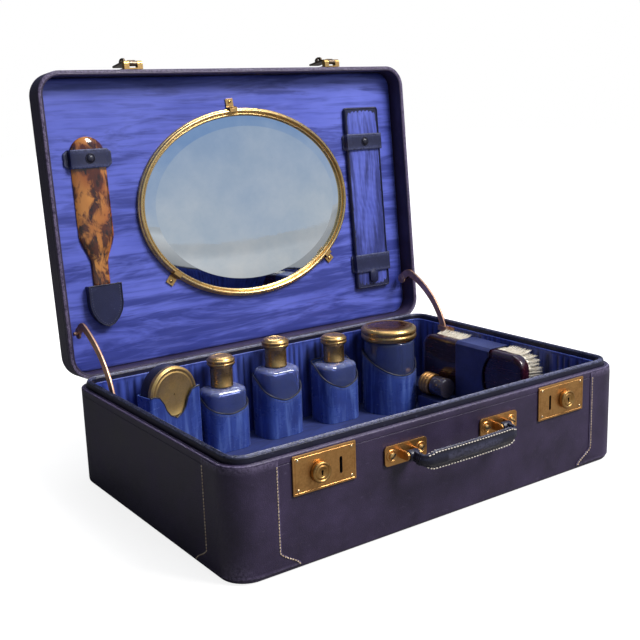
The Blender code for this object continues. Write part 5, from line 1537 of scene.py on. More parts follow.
@dataclass
class Lid:
    """The open lid: covered shell, watered silk panel and the two curved stays."""

    finishes: Finishes
    rounding: float = 0.0053
    stay_x: float = 0.1954
    stay_thick: float = 0.0020
    stay_wide: float = 0.0080
    stay_ratio: float = -0.286
    tail: float = 0.0072
    stud_room: tuple[float, float] = (0.0019, 0.0022)

    def shell(self) -> Object:
        """Covered lid with two ridges round its rim and a tooled line outside.

        Returns:
            The piece.
        """
        r, top = self.rounding, LID_HEIGHT
        rim = np.linspace(0, 1, 15)
        ridges = 0.00012 + 0.00022 * (0.5 - 0.5 * np.cos(2 * math.pi * 2 * rim))
        profile = joined(
            [(WALL, top - LID_TOP), (WALL, 0.012), (WALL, 0.0010), (WALL - 0.0002, 0.0004)],
            pair(WALL - 0.0005 - (WALL - 0.0017) * rim, 0.00034 - ridges + 0.00012),
            round_edge(0.0011, 0.0011, 0.0011, -90, 0, 5)[1:],
            mm((0, 4.4), (0.26, 4.6), (0.26, 5.1), (0, 5.3), (0, 13)),
            round_edge(r, top - r, r, 0, 90, 10),
            (r + 0.004, top),
        )
        inset, height = profile[:, 0], np.maximum(profile[:, 1], 0.0)
        rings = closed_lid(CASE_PLAN.walls(inset, height))
        edge = bell(height - 0.0002, 0.0011) * (inset < 0.003) + 0.6 * bell(height - top + 0.0014, 0.0013)
        wear_and_painted_light = np.clip(edge, 0, 1)[:, None] * np.ones(rings.shape[1])
        buffer = MeshBuffer().grid(rings, wear_and_painted_light=wear_and_painted_light)
        piece = buffer.make("lid_body", [self.finishes.navy, self.finishes.dark], 40)
        cutters = [hinge_recess(side, self.finishes.dark) for _, side in SIDES]
        for _, side in SIDES:
            stud = lid_place([side * (CASE_WIDTH / 2 - WALL), *STAY_PIVOT])
            cutters.append(bar_cutter(stud, *self.stud_room, self.finishes.dark))
        carve(piece, *cutters)
        return finish_piece(piece, "lid", ["lid_shell"])

    def panel(self) -> Object:
        """Watered silk stretched over a board, rolled over at its border.

        The border falls away over 5 mm, with small puckers along its length.

        Returns:
            The piece.
        """
        wide, deep = CASE_WIDTH - 2 * RIM_OFFSET, CASE_DEPTH - 2 * RIM_OFFSET
        plan = Plan(wide, deep, CORNER_RADIUS - RIM_OFFSET, 16, 90)
        back = LID_HEIGHT - LID_TOP - GAP
        inset = np.array([0.2, 0, 0, 0.3, 0.9, 1.8, 3.0, 4.4, 6.0, 8.5, 12.0]) / 1000
        drop = np.array([0, 0, 0, 1.4, 0.8, 0.45, 0.2, 0.08, 0.03, 0, 0]) / 1000
        points, _ = plan.loop()
        pucker = 0.00010 * waves(lengths(points), [(1, 0.0061, 0.2), (0.7, 0.0094, 1.4), (0.5, 0.0153, 2.2)])
        height = np.repeat((LID_RECESS + drop)[:, None], len(points), axis=1)
        height[:3] = np.array([[back], [back - 0.0003], [LID_RECESS + 0.0022]])
        height[3:9] += pucker * np.array([[0.6], [1], [1], [0.8], [0.5], [0.2]])
        height[3:] = np.maximum(height[3:], LID_RECESS - GAP * 0.3)
        buffer = MeshBuffer().grid(closed_lid(plan.walls(inset, height)))
        piece = buffer.make("lid_silk", [self.finishes.moire], 60)
        return finish_piece(piece, "lid", ["lid_lining"])

    def stay_line(self, steps: int = 72) -> Array:
        """The stay's centre line in its own frame, closed: where the keeper runs along it as the lid opens.

        The keeper's place is turned back by the lid's and the stay's own turn at each angle.

        Args:
            steps: steps of the lid's opening.

        Returns:
            (n, 2) of (y, z) from the pivot.
        """
        v, w = STAY_PIVOT
        a = np.linspace(0, LID_OPEN, steps + 1)
        pivot = pair(*rotated(CASE_DEPTH / 2 - v - HINGE_Y, RIM_GAP + w, -a))
        seen = np.array([KEEPER[0] - HINGE_Y, KEEPER[1] - BASE_HEIGHT]) - pivot
        path = pair(*rotated(*seen.T, a * (1 + self.stay_ratio)))
        lead = path[0] + unit(path[0] - path[1]) * 0.0075
        t = np.linspace(0, 1, 16, endpoint=False)[:, None]
        start = lead * 2 * t * (1 - t) + path[:1] * t * t
        end = path[-1] + unit(path[-1] - path[-2]) * self.tail * np.linspace(0, 1, 9)[1:, None]
        return np.concatenate([start, path, end])

    def stay(self, name: str, side: int) -> Object:
        """Curved strip with rounded edges, a riveted eye in the lid and a wider end below its keeper.

        Args:
            name: left or right.
            side: -1 or 1.

        Returns:
            The piece.
        """
        line = self.stay_line()
        tangent = unit(np.gradient(line, axis=0))
        across = pair(-tangent[:, 1], tangent[:, 0])
        left = lengths(line[::-1])[::-1]
        half = np.select([left < 0.0004, left < 0.0020], [0.0057, 0.0061], self.stay_wide / 2)[:, None]
        thick, soft = self.stay_thick, 0.00035
        inset = soft * np.array([1, 0.3, 0, 0, 0.3, 1, 1, 0.3, 0, 0, 0.3, 1])
        x = soft * np.array([0, 0.3, 1, 1, 0.3, 0, 0, -0.3, -1, -1, -0.3, 0]) + thick * (np.arange(12) > 5)
        wide = np.repeat([-1, 1, -1], (3, 6, 3)) * (half - inset)
        flat = line[:, None] + across[:, None] * wide[..., None]
        pivot = lid_place([side * self.stay_x, *STAY_PIVOT])
        y, z = rotated(flat[..., 0], flat[..., 1], -(1 + self.stay_ratio) * LID_OPEN)
        buffer = MeshBuffer().grid(stack3(side * (self.stay_x + x), y + pivot[1], z + pivot[2]))
        eye = joined(
            mm((1.6, 3.4), (1.6, 0), (4.9, 0), (5.2, -0.3), at=(0, thick)),
            mm((5.2, 0.3), (4.9, 0), (2.6, 0), (2.4, -0.3), (1.8, -0.36), (1.0, -0.36)),
        )
        eye[:, 1] = np.minimum(eye[:, 1], CASE_WIDTH / 2 - WALL + 0.0018 - self.stay_x)
        axes = np.array([(0, 1, 0), (0, 0, 1), (side, 0, 0)], float)
        buffer.grid(lathe(eye, pivot, 40, axes))
        piece = buffer.make(f"lid_stay_{name}", [self.finishes.stay], 30)
        return finish_piece(piece, f"{name}_stay", [f"stay_{name}"])

    def build(self) -> None:
        """Makes shell, silk panel and stays."""
        self.shell()
        self.panel()
        for name, side in SIDES:
            self.stay(name, side)


@dataclass
class Mirror:
    """Oval bevelled glass in a moulded brass frame, held by three clips."""

    finishes: Finishes
    frame_width: float = 0.0075
    frame_depth: float = 0.0058
    glass_thick: float = 0.0036
    bevel: float = 0.0105

    def rings(self, profile: Array, steps: int = 200) -> Array:
        """An oval carried along a profile of (inset, w).

        Args:
            profile: (n, 2).
            steps: points round the oval.

        Returns:
            (n, steps, 3) at rest.
        """
        a = round_turn(steps)
        u = MIRROR_CENTRE[0] + (MIRROR_HALF[0] - profile[:, :1]) * np.cos(a)
        v = MIRROR_CENTRE[1] + (MIRROR_HALF[1] - profile[:, :1]) * np.sin(a)
        return lid_place(stack3(u, v, profile[:, 1:]))

    def frame(self) -> Object:
        """Frame with a hollow outside, a round bead and a small inner bead.

        Returns:
            The piece.
        """
        top = SEAT_W - self.frame_depth
        w = self.frame_width
        profile = joined(
            (0, SEAT_W),
            mm((0, 3.0), (0.3, 2.4), (1.0, 2.2), at=(0, top)),
            round_edge(0.0030, top + 0.0017, 0.0017, -10, -170, 10),
            (0.0050, top + 0.0028),
            round_edge(0.0063, top + 0.0032, 0.0009, -30, -150),
            [(w - 0.0002, top + 0.0034), (w, top + 0.0036), (w, SEAT_W)],
        )
        buffer = MeshBuffer().grid(self.rings(profile), along=True)
        piece = buffer.make("mirror_moulding", [self.finishes.frame], 50)
        return finish_piece(piece, "lid", ["mirror_frame"])

    def glass(self) -> Object:
        """Silvered glass with a wide flat bevel.

        Returns:
            The piece.
        """
        edge, flat = self.frame_width + GAP, self.frame_width + GAP + self.bevel
        face = SEAT_W - self.glass_thick
        profile = np.array([(edge, SEAT_W), (edge, SEAT_W - 0.0014), (flat, face),
                            (flat + 0.0001, face - 0.00001)])
        piece = MeshBuffer().grid(self.rings(profile)).make("mirror_plate", [self.finishes.mirror], 8)
        return finish_piece(piece, "lid", ["mirror_glass"])

    def build(self) -> None:
        """Makes frame and glass, and dresses the clips."""
        self.frame()
        self.glass()
        for name in ("top", "left", "right"):
            dress_node(f"mirror_clip_{name}", self.finishes.bright)


@dataclass
class Strap:
    """A leather strap across something in the lid: both ends down on the silk, stitched along its edges."""

    finishes: Finishes
    name: str
    replaces: str
    u: float
    v: float
    width: float
    reach: float
    crown: float
    flat: float
    arched: bool = False
    studs: tuple[float, ...] = ()
    tab: float = 0.0

    def build(self) -> Object:
        """Makes the strap as one band, with its stitches and studs.

        Its height is level over what it holds, or a parabola where that is arched, and drops to the silk
        by t squared times (3 - 2 t) at both ends.

        Returns:
            The piece.
        """
        flat, reach = self.flat, self.reach
        steep = np.linspace(flat, flat + 0.0010, 5)
        tail = np.linspace(flat + 0.0014, reach, 6)
        level = np.linspace(-flat, flat, 25)[1:-1]
        s = np.concatenate([-tail[::-1], -steep[::-1], level, steep, tail])
        rise = SEAT_W - self.crown
        over = rise * (0.72 + 0.28 * (1 - np.minimum(np.abs(s) / flat, 1) ** 2)) if self.arched else rise
        low = SEAT_W - over * (1 - smooth((np.abs(s) - flat + 0.0002) / 0.0016))
        half = self.width / 2 * (1 - 0.38 * smooth((np.abs(s) - flat - 0.001) / (reach - flat)))
        e = np.array([(-1, 0.2, 0), (-1, 0, 0.3), (-1, 0, 0.75), (-1, 0.4, 1), (-1, 1.2, 1.05),
                      (-0.5, 0, 1.0),
                      (0, 0, 1.02), (0.5, 0, 1.0), (1, 1.2, 1.05), (1, 0.4, 1), (1, 0, 0.75), (1, 0, 0.3),
                      (1, 0.2, 0)])
        v = self.v + e[:, 0] * (half[:, None] - e[:, 1] / 1000)
        w = low[:, None] - LEATHER * 0.96 * e[:, 2]
        wear_and_painted_light = np.abs(e[:, 0]) ** 3 * 0.6 * np.ones((len(s), 1))
        buffer = MeshBuffer().grid(lid_place(stack3(self.u + s[:, None], v, w)), wear_and_painted_light=wear_and_painted_light)
        for k in (-1, 1):
            path = lid_place(stack3(self.u + s, self.v + k * (half - 0.0017), low - LEATHER))
            STRAP_SEAM.sew(buffer, path[1:-1], LID_OUT, 1)
        for u in self.studs:
            spot = lid_place([self.u + u, self.v, np.interp(u, s, low) - LEATHER])
            size = np.array([[0.0040], [0.0040], [0.0032]])
            buffer.copies(DOME, spot[None], LID_AXES * size, 2)
            a = round_turn(24)[:, None]
            loop = spot + 0.0044 * (np.cos(a) * LID_AXES[0] + np.sin(a) * LID_AXES[1])
            buffer.grid(tube(loop, 0.0005, LID_OUT, 6, True), along=True, slot=2)
        if self.tab:
            plan = Plan(0.0110, self.tab + 0.0030, 0.0046, 6, 3)
            heights = np.array([0.0, 0.0003, LEATHER - 0.0003, LEATHER])
            tongue = plan.walls(np.array([0.0003, 0, 0, 0.0003]), heights)
            below = self.v - self.width / 2 - self.tab / 2 + 0.0015
            buffer.grid(lid_place((self.u, below, self.crown) + tongue * (1, 1, -1)))
        piece = buffer.make(self.name, [self.finishes.strap, self.finishes.navy_thread,
                                        self.finishes.handle], 50)
        return finish_piece(piece, "lid", [self.replaces])


@dataclass
class LidArticles:
    """Shoehorn in its strap and pocket, and the silk-faced comb case under its two straps."""

    finishes: Finishes
    horn_u: float = -0.164
    horn_span: tuple[float, float] = (0.0520, 0.2240)
    horn_thick: float = 0.0016
    horn_head: float = 0.0350
    horn_neck: float = 0.0170
    horn_arch: float = 0.0042
    case_centre: tuple[float, float] = (0.1590, 0.1395)
    case_size: tuple[float, float] = (0.0460, 0.2010)
    case_thick: float = 0.0050

    def horn(self) -> Object:
        """Shallow scoop: wide round head, narrow neck, arched across by a parabola.

        Returns:
            The piece.
        """
        low, high = self.horn_span
        round_end = 0.88 + 0.119 * np.sin(np.linspace(0, math.pi / 2, 24))[1:]
        share = np.concatenate([np.linspace(0.001, 0.88, 60), round_end])
        v = low + (high - low) * share
        blend = smooth((share - 0.30) / 0.17)
        width = self.horn_neck + (self.horn_head - self.horn_neck) * blend
        from_top = (high - v) / (self.horn_head / 2)
        rounded = np.sqrt(np.maximum(0.02, 1 - (1 - np.minimum(from_top, 1)) ** 2))
        width = width * np.where(from_top < 1, rounded, 1)
        foot = np.clip((v - low) / 0.004, 0, 1)
        half = width / 2 * (0.55 + 0.45 * np.sqrt(np.clip(1 - (1 - foot) ** 2, 0, 1)))
        arch = self.horn_arch * half / (self.horn_head / 2)
        c = np.linspace(-1, 1, 25)
        lip = self.horn_thick * (1 - 0.55 * np.abs(c) ** 10)
        rise = arch[:, None] * (1 - c**2)
        upper = stack3(self.horn_u + c * half[:, None], v[:, None], SEAT_W - lip - rise)
        lower = stack3(self.horn_u + c * half[:, None], v[:, None], SEAT_W - 0.00002 - rise)
        rows = lid_place(np.concatenate([upper, lower[:, ::-1]], axis=1))
        piece = MeshBuffer().grid(rows).make("horn", [self.finishes.shell], 50)
        return finish_piece(piece, "shoehorn_body", ["shoehorn"])

    def pocket_trim(self) -> Object:
        """Piping round the shoehorn's pocket, with a row of stitches inside it.

        Returns:
            The piece.
        """
        half, low, top, face = 0.01675, 0.0455, 0.0855, SEAT_W - 0.0072
        shares = np.array([(1, 1), (1, 0.52), (0.90, 0.34), (0.66, 0.17), (0.34, 0.05), (0, 0)])
        line = mirrored(pair(half * shares[:, 0], low + (top - low) * shares[:, 1]))

        def lined(inset: float) -> Array:
            """The pocket's outline, moved inward and evenly spread."""
            shrunk = line * (1 - inset / half, 1) + (self.horn_u, inset * 0.8)
            shrunk[[0, -1], 1] = top - 0.0002
            return lid_place(resample(stack3(*shrunk.T, face), 0.0012))

        buffer = MeshBuffer().grid(tube(lined(0.0004), 0.0006, LID_OUT))
        mouth = lid_place(stack3(self.horn_u + np.linspace(-half, half, 16), top - 0.0003, face))
        buffer.grid(tube(mouth, 0.0006, LID_OUT))
        STRAP_SEAM.sew(buffer, lined(0.0026), LID_OUT, 1)
        piece = buffer.make("pocket_trim", [self.finishes.edge, self.finishes.navy_thread], 50)
        return finish_piece(piece, "lid")

    def comb_case(self) -> Object:
        """Slim case faced with ruched silk inside a leather piping.

        The silk's height is a low cushion, (1 - a^4)(1 - b^8) of the place across and along, under
        gathers that wander along the case.

        Returns:
            The piece.
        """
        wide, long = self.case_size
        u0, v0 = self.case_centre
        profile = mm((0.3, 0), (0, -0.4), (0, -3.6), (0.4, -4.0), (2.8, -3.8), at=(0, SEAT_W))
        sides = Plan(wide, long, 0.0030, 6, 40).walls(*profile.T)
        buffer = MeshBuffer().grid(lid_place(sides + (u0, v0, 0)), slot=1)
        a = np.linspace(-1, 1, 61)
        b = np.linspace(-1, 1, 281)[:, None]
        u = a * (wide / 2 - 0.0012)
        v = b * (long / 2 - 0.0012)
        cushion = (1 - a**4) * (1 - b**8)
        bend = 0.0012 * np.sin(v * 90 + 0.7) + 0.0008 * np.sin(v * 210 + 2)
        fold = np.abs(np.sin(math.pi * (u + bend) / 0.0052 + 0.6 * np.sin(v * 60)))
        fine = np.sin(2 * math.pi * (u - 1.5 * bend) / 0.0019 + 1.5 * np.sin(v * 75 + 1)) * 0.5 + 0.5
        cross = np.sin(2 * math.pi * v / 0.0085 + 5 * a + 2 * np.sin(v * 40)) * 0.5 + 0.5
        height = 0.0036 + cushion * (0.00045 + 0.00050 * fold + 0.00018 * fine + 0.00014 * cross)
        skin = lid_place(stack3(u0 + u, v0 + v, SEAT_W - np.minimum(height, self.case_thick - 0.00005)))
        under = lid_place(stack3(u0 + u, v0 + v, SEAT_W - 0.0034))
        buffer.grid(np.concatenate([skin, under[:, ::-1]], axis=1))
        edge, _ = Plan(wide - 0.0022, long - 0.0022, 0.0026, 6, 40).loop()
        loop = lid_place(stack3(*(edge + self.case_centre).T, SEAT_W - 0.0040))
        buffer.grid(tube(loop, 0.0007, LID_OUT, closed=True), along=True, slot=1)
        piece = buffer.make("comb_pouch", [self.finishes.ruched, self.finishes.strap], 55)
        return finish_piece(piece, "comb_case_body", ["comb_case"])

    def build(self) -> None:
        """Makes shoehorn, comb case and straps, and dresses the pocket."""
        self.horn()
        self.comb_case()
        crown = SEAT_W - self.horn_thick - self.horn_arch - FIT
        flat = self.horn_head / 2 + 0.0008
        Strap(self.finishes, "horn_band", "horn_strap", u=self.horn_u, v=0.2035, width=0.0175, reach=0.0235,
              crown=crown, flat=flat, arched=True, studs=(0.0,)).build()
        flat = self.case_size[0] / 2 + 2 * GAP
        over = Strap(self.finishes, "pouch_band_top", "case_strap_top", u=self.case_centre[0], v=0.2025,
                     width=0.0175, reach=flat + 0.0030, crown=SEAT_W - self.case_thick - FIT, flat=flat,
                     studs=(0.0,))
        over.build()
        replace(over, name="pouch_band_low", replaces="case_strap_low", v=0.0675, width=0.0200, studs=(),
                tab=0.0130).build()
        dress_node("horn_pocket", self.finishes.strap, 0.0004)
        self.pocket_trim()


@dataclass(frozen=True)
class BottleSize:
    """One fitted bottle: where it stands and how high its parts reach."""

    name: str
    x: float
    shoulder: float
    cap_top: float
    rim_low: float
    rim_high: float


BOTTLES = (
    BottleSize("left", -0.0730, 0.0690, 0.1000, 0.0455, 0.0620),
    BottleSize("middle", -0.0095, 0.0775, 0.1072, 0.0465, 0.0700),
    BottleSize("right", 0.0630, 0.0695, 0.0985, 0.0450, 0.0700),
)


def scooped_rim(away: Array, low: float, high: float) -> Array:
    """Height of a holder's rim: full at the back, lower toward the front by ((0.45 - y) / 1.45)^1.3."""
    return high - (high - low) * np.clip((0.45 - away[:, 1]) / 1.45, 0, 1) ** 1.3


def holder(name: str, centre: Sequence[float], outline: Array, normals: Array, low: float, high: float,
           finishes: Finishes) -> Object:
    """Leather sleeve with a scooped rim and piping along it.

    Args:
        name: the piece's name.
        centre: its middle.
        outline: (n, 2) outline of what it holds, from its middle.
        normals: (n, 2) outward directions of the outline.
        low: lowest height of the rim.
        high: highest height of the rim.
        finishes: the finishes.

    Returns:
        The piece.
    """
    inside, outside = (outline + normals * far for far in (FIT, FIT + LEATHER))
    away = unit(inside + outside)
    outward = stack3(*away.T, 0.0)
    rim = scooped_rim(away, low, high)
    t = np.concatenate([[0.0, 0.03, 0.10], np.linspace(0.2, 0.9, 8), [0.96, 1.0]])[:, None]
    heights = STAND_Z + (rim - STAND_Z) * t
    walls = [stack3(*(centre + flat).T, heights) for flat in (outside, inside)]
    wear_and_painted_light = 0.7 * np.concatenate([t**18, t[::-1] ** 18]) * np.ones(len(outline))
    buffer = MeshBuffer().grid(np.concatenate([walls[0], walls[1][::-1]]), along=True, wear_and_painted_light=wear_and_painted_light)
    path = stack3(*(centre + inside * 0.40 + outside * 0.60).T, rim)
    buffer.grid(tube(path, 0.00090, outward, closed=True), along=True, slot=1)
    HOLDER_SEAM.sew(buffer, stack3(*(centre + outside).T, rim - 0.0026), outward, 2, True)
    return buffer.make(name, [finishes.blue, finishes.edge, finishes.navy_thread], 50)


@dataclass
class Fittings:
    """Bottles, cream jar, powder box, brushes and the small jar, each in its leather holder."""

    finishes: Finishes
    bottle_y: float = 0.1085
    bottle_wide: float = 0.0430
    bottle_deep: float = 0.0340
    bottle_corner: float = 0.0110
    neck: float = 0.0096
    bore: float = 0.0070
    wall: float = 0.0024
    cap_radius: float = 0.0128
    collar: float = 0.0109
    jar_place: tuple[float, float] = (0.1285, 0.0970)
    jar_radius: float = 0.0275
    jar_shoulder: float = 0.0855
    jar_top: float = 0.0998
    jar_rim: tuple[float, float] = (0.0500, 0.0720)
    box_place: tuple[float, float] = (-0.1315, 0.1065)
    box_seat: float = 0.0482
    box_radius: float = 0.0265
    box_thick: float = 0.0185
    box_lid: float = 0.0060
    box_turn: float = math.radians(10)
    brush_thick: float = 0.0120
    brush_corner: float = 0.0150
    bristle_reach: float = 0.0134

    def bottle(self, size: BottleSize) -> Object:
        """Glass bottle with faceted shoulders, hollow inside.

        Each ring is the plan moved inward, or the same points drawn to a circle for the neck; the shoulder
        goes from one to the other.

        Args:
            size: which bottle.

        Returns:
            The piece.
        """
        points, normals = Plan(self.bottle_wide, self.bottle_deep, self.bottle_corner, 10, 12).loop()
        away = unit(points)
        top = size.cap_top - 0.0016 - GAP - 0.0006
        sh, n, b, w = size.shoulder, self.neck, self.bore, self.wall
        floor = STAND_Z
        rings = (
            (0.0024, floor), (0.0009, floor + 0.0004), (0.0002, floor + 0.0014), (0, floor + 0.0028),
            (0, sh * 0.5),
            (0, sh - 0.0046), (0.0003, sh - 0.0034), (0.0011, sh - 0.0019), (0.0024, sh - 0.0008),
            (0.0042, sh - 0.0001), (0.0042, sh + 0.0003, 0.35, n), (0.0042, sh + 0.0005, 0.7, n),
            (0, sh + 0.0008, 1, n), (0, sh + 0.0016, 1, n - 0.0002), (0, top - 0.0006, 1, n - 0.0002),
            (0, top, 1, n - 0.0008), (0, top, 1, b + 0.0005), (0, top - 0.0006, 1, b),
            (0, sh - w + 0.0006, 1, b),
            (0.0042, sh - w, 0.6, b + 0.002), (w + 0.0030, sh - w - 0.0004), (w + 0.0010, sh - w - 0.0018),
            (w, sh - 0.0066), (w, sh * 0.5), (w, floor + 0.0066), (w + 0.0012, floor + 0.0052),
            (w + 0.003, floor + 0.0048),
        )

        def ring(inset: float, z: float, circle: float = 0.0, radius: float = 0.0) -> Array:
            """The outline moved inward, then drawn to a circle by a share."""
            flat = (points - normals * inset) * (1 - circle) + away * radius * circle
            return stack3(size.x + flat[:, 0], self.bottle_y + flat[:, 1], z)

        # Pale frost on the shoulders: frosting, and a painted highlight where the shoulders catch the light.
        frost_and_highlight = np.zeros((len(rings), 1))
        frost_and_highlight[5:12, 0] = (0.15, 0.5, 0.8, 0.9, 1.0, 1.0, 0.8)
        buffer = MeshBuffer().grid(np.array([ring(*r) for r in rings]), wear_and_painted_light=frost_and_highlight * np.ones(len(points)))
        piece = buffer.make(f"flask_{size.name}", [self.finishes.glass], 70)
        return finish_piece(piece, f"{size.name}_bottle", [f"bottle_{size.name}"])

    def cap(self, size: BottleSize) -> Object:
        """Turned cap: plain collar, two milled beads and a flat top disc.

        Args:
            size: which bottle.

        Returns:
            The piece.
        """
        r, top, start = self.cap_radius, size.cap_top, size.shoulder + 0.0012
        inner = self.neck + FIT
        section = joined(
            (inner, start),
            mm((0, 0), (0.3, 0.4), (0.3, 0.9), (0, 1.3), at=(self.collar, start)),
            mm((0, -11.2), (0.2, -10.4), (0.8, -9.6), at=(self.collar, top)),
            (r - 0.0002, top - 0.0090),
            bead(r - 0.00005, top - 0.0069, 0.0010, 0.00135),
            bead(r - 0.00005, top - 0.0038, 0.0010, 0.00135),
            mm((-0.4, -2.1), (-0.7, -1.4), (-1.6, -0.6), (-3.0, -0.2), (-3.4, 0), (-4.6, 0), (-5.0, -0.25),
               (-5.4, -0.2), at=(r, top)),
            mm((2, -0.05), (0.8, -0.05), (0.5, -0.05), (0.5, -1.6), at=(0, top)),
            mm((-0.6, -1.6), (0, -2.0), at=(inner, top)),
        )
        centre = (size.x, self.bottle_y, 0)
        turned = lathe(section, centre, 96)
        milled = (np.abs(section[:, :1] - r - 0.0006) < 0.0006) * np.cos(48 * round_turn(96))
        outward = unit((turned - centre) * (1, 1, 0))
        buffer = MeshBuffer().grid(turned + outward * (0.00007 * milled)[..., None], along=True)
        piece = buffer.make(f"cap_{size.name}", [self.finishes.bright], 45)
        return finish_piece(piece, f"{size.name}_cap", [f"bottle_cap_{size.name}"])

    def sleeve(self, size: BottleSize) -> Object:
        """The bottle's leather holder.

        Args:
            size: which bottle.

        Returns:
            The piece.
        """
        outline, normals = Plan(self.bottle_wide, self.bottle_deep, self.bottle_corner, 10, 14).loop()
        piece = holder(f"sleeve_{size.name}", (size.x, self.bottle_y), outline, normals, size.rim_low,
                       size.rim_high, self.finishes)
        return finish_piece(piece, "base", [f"bottle_holder_{size.name}"])

    def cream_jar(self) -> None:
        """Round glass jar, its ribbed brass lid and its holder."""
        centre, r = (*self.jar_place, 0), self.jar_radius
        floor, shoulder, top = STAND_Z, self.jar_shoulder, self.jar_top
        neck, bore = r - 0.0022, r - 0.0046
        mouth = top - 0.0020 - GAP
        glass = joined(
            (0.004, floor),
            mm((-2.6, 0), (-1.0, 0.4), (0, 1.8), at=(r, floor)),
            mm((0, -2.6), (-0.4, -1.4), (-1.6, -0.2), (-2.2, 0.4), at=(r, shoulder)),
            [(neck, mouth - 0.0004), (neck - 0.0005, mouth), (bore + 0.0005, mouth), (bore, mouth - 0.0005)],
            [(bore, floor + 0.0070), (bore - 0.002, floor + 0.0054), (0.004, floor + 0.005)],
        )
        piece = MeshBuffer().grid(lathe(glass, centre, 96)).make("cream_glass", [self.finishes.glass], 60)
        finish_piece(piece, "jar", ["jar_glass"])
        rim, inner, start = 0.0298, neck + FIT, shoulder + 0.0008
        span = (top - 0.0016 - start - 0.0006) / 2
        ribs = [bead(rim - 0.0011, start + 0.0006 + span * (k + 0.48), 0.0011, span * 0.44, 85) for k in (0,
                                                                                                          1)]
        cover = joined(
            [(inner, start), (rim - 0.0014, start), (rim - 0.0012, start + 0.0004)],
            *ribs,
            mm((-1.6, -1.0), (-3.0, -0.3), (-4.4, 0), (-6.0, 0), (-6.4, -0.3), (-7.0, -0.3), at=(rim, top)),
            mm((0.6, -0.3), (0.6, -2.0), at=(0, top)),
            mm((-0.8, -2.0), (0, -2.6), at=(inner, top)),
        )
        disc = joined(
            mm((-7.1, -0.35), (-7.3, -0.22), at=(rim, top)),
            mm((12, -0.14), (0.6, -0.1), (0.6, -0.5), at=(0, top)),
            mm((-7.1, -0.5), at=(rim, top)),
        )
        buffer = MeshBuffer().grid(lathe(cover, centre, 120), along=True)
        buffer.grid(lathe(disc, centre), along=True, slot=1)
        piece = buffer.make("cream_lid", [self.finishes.bright, self.finishes.cap_top], 40)
        finish_piece(piece, "jar_cover", ["jar_lid"])
        a = round_turn(96)
        away = pair(np.cos(a), np.sin(a))
        piece = holder("cream_sleeve", self.jar_place, away * r, away, *self.jar_rim, self.finishes)
        finish_piece(piece, "base", ["jar_holder"])

    def powder_box(self) -> None:
        """Round box on its edge with a gilt lid, and the piping of its holder's notch."""
        r, half = self.box_radius, self.box_thick / 2
        c, s = math.cos(self.box_turn), math.sin(self.box_turn)
        centre = (*self.box_place, self.box_seat + GAP + r)
        axes = np.array([(c, s, 0), (0, 0, 1), (s, -c, 0)])
        seam, inner = half - self.box_lid, r - 0.0020
        body = joined(
            (0.001, -half),
            mm((-1.4, 0), (-0.4, 0.4), (0, 1.4), at=(r, -half)),
            [(r, seam - 0.0014), (r - 0.0003, seam - GAP - 0.0002), (inner + 0.0002, seam - GAP),
             (inner, seam)],
            [(inner, seam + 0.0030), (inner - 0.0012, seam + 0.0030)],
            [(inner - 0.0012, 0.0022 - half), (0.001, 0.0020 - half)],
        )
        piece = MeshBuffer().grid(lathe(body, centre, 96, axes)).make("box_drum", [self.finishes.edge], 50)
        finish_piece(piece, "powder_box", ["round_box"])
        a = np.radians(np.linspace(160, 20, 9))
        lid = joined(
            mm((0.8, -0.85), (9, -0.9), at=(0, half)),
            mm((-6.8, -1.0), (-6.2, -0.6), (-5.6, -0.6), (-5.0, -1.1), (-4.0, -1.1), at=(r, half)),
            pair(r - 0.0023 + 0.0013 * np.cos(a), half - 0.0011 + 0.0011 * np.sin(a)),
            mm((-0.6, -1.3), (-0.1, -1.8), at=(r, half)),
            [(r, seam + 0.0012), (r - 0.0002, seam), (inner + GAP, seam), (inner + GAP, half - 0.0022)],
            [(inner - 0.001, half - 0.0018), (0.0008, half - 0.0018)],
        )
        buffer = MeshBuffer().grid(lathe(lid, centre, 120, axes), along=True)
        piece = buffer.make("box_disc", [self.finishes.gilt], 40)
        finish_piece(piece, "powder_box", ["round_box_lid"])
        dress_node("round_box_holder", self.finishes.blue, 0.0004)
        shares = np.array([(1.0, 0.0), (0.78, 0.07), (0.58, 0.34), (0.47, 0.62), (0.30, 0.84), (0.0, 1.0)])
        wide, low, high = 0.0240, 0.0520, 0.0775
        notch = pair(wide * shares[:, 0], high - (high - low) * shares[:, 1])
        outline = mirrored(joined((wide + 0.0043, high), notch))
        x, y = rotated(outline[:, 0], -(half + FIT + LEATHER / 2), self.box_turn)
        path = stack3(x + centre[0], y + centre[1], outline[:, 1])
        buffer = MeshBuffer().grid(tube(path, 0.0009, np.array([s, -c, 0.0])))
        finish_piece(buffer.make("notch_piping", [self.finishes.edge], 60), "base")

    def brush(self, name: str, span: tuple[float, float], seed: int) -> None:
        """Crowned wooden back on its edge, and rows of bristle tufts that fan out toward the wall.

        A bristle leans by its place across the brush plus a small fixed wander.

        Args:
            name: rear or front.
            span: where it starts and ends along Y.
            seed: seed of the bristles' wander.
        """
        thick, tall, corner = self.brush_thick, BRUSH_TALL, self.brush_corner
        base = BRUSH_LEFT + thick + GAP
        middle = np.array([(span[0] + span[1]) / 2, REST_TOP + 2 * GAP + tall / 2])
        length = span[1] - span[0]
        a = np.radians(np.linspace(0, 90, 9))
        profile = joined(
            mm((13, 0), (10, 0.05)),
            pair(0.0075 - 0.0075 * np.sin(a), 0.0036 - 0.0036 * np.cos(a) + 0.0001),
            (0, 0.006),
            mm((0, -1.6), (0.4, -0.6), (1.4, 0), (4.0, 0), at=(0, thick)),
        )

        def on_edge(flat: Array, x: float) -> Array:
            """Stands a flat-lying shape on its long edge, from x on."""
            return stack3(x + flat[..., 2], middle[0] + flat[..., 0], middle[1] + flat[..., 1])

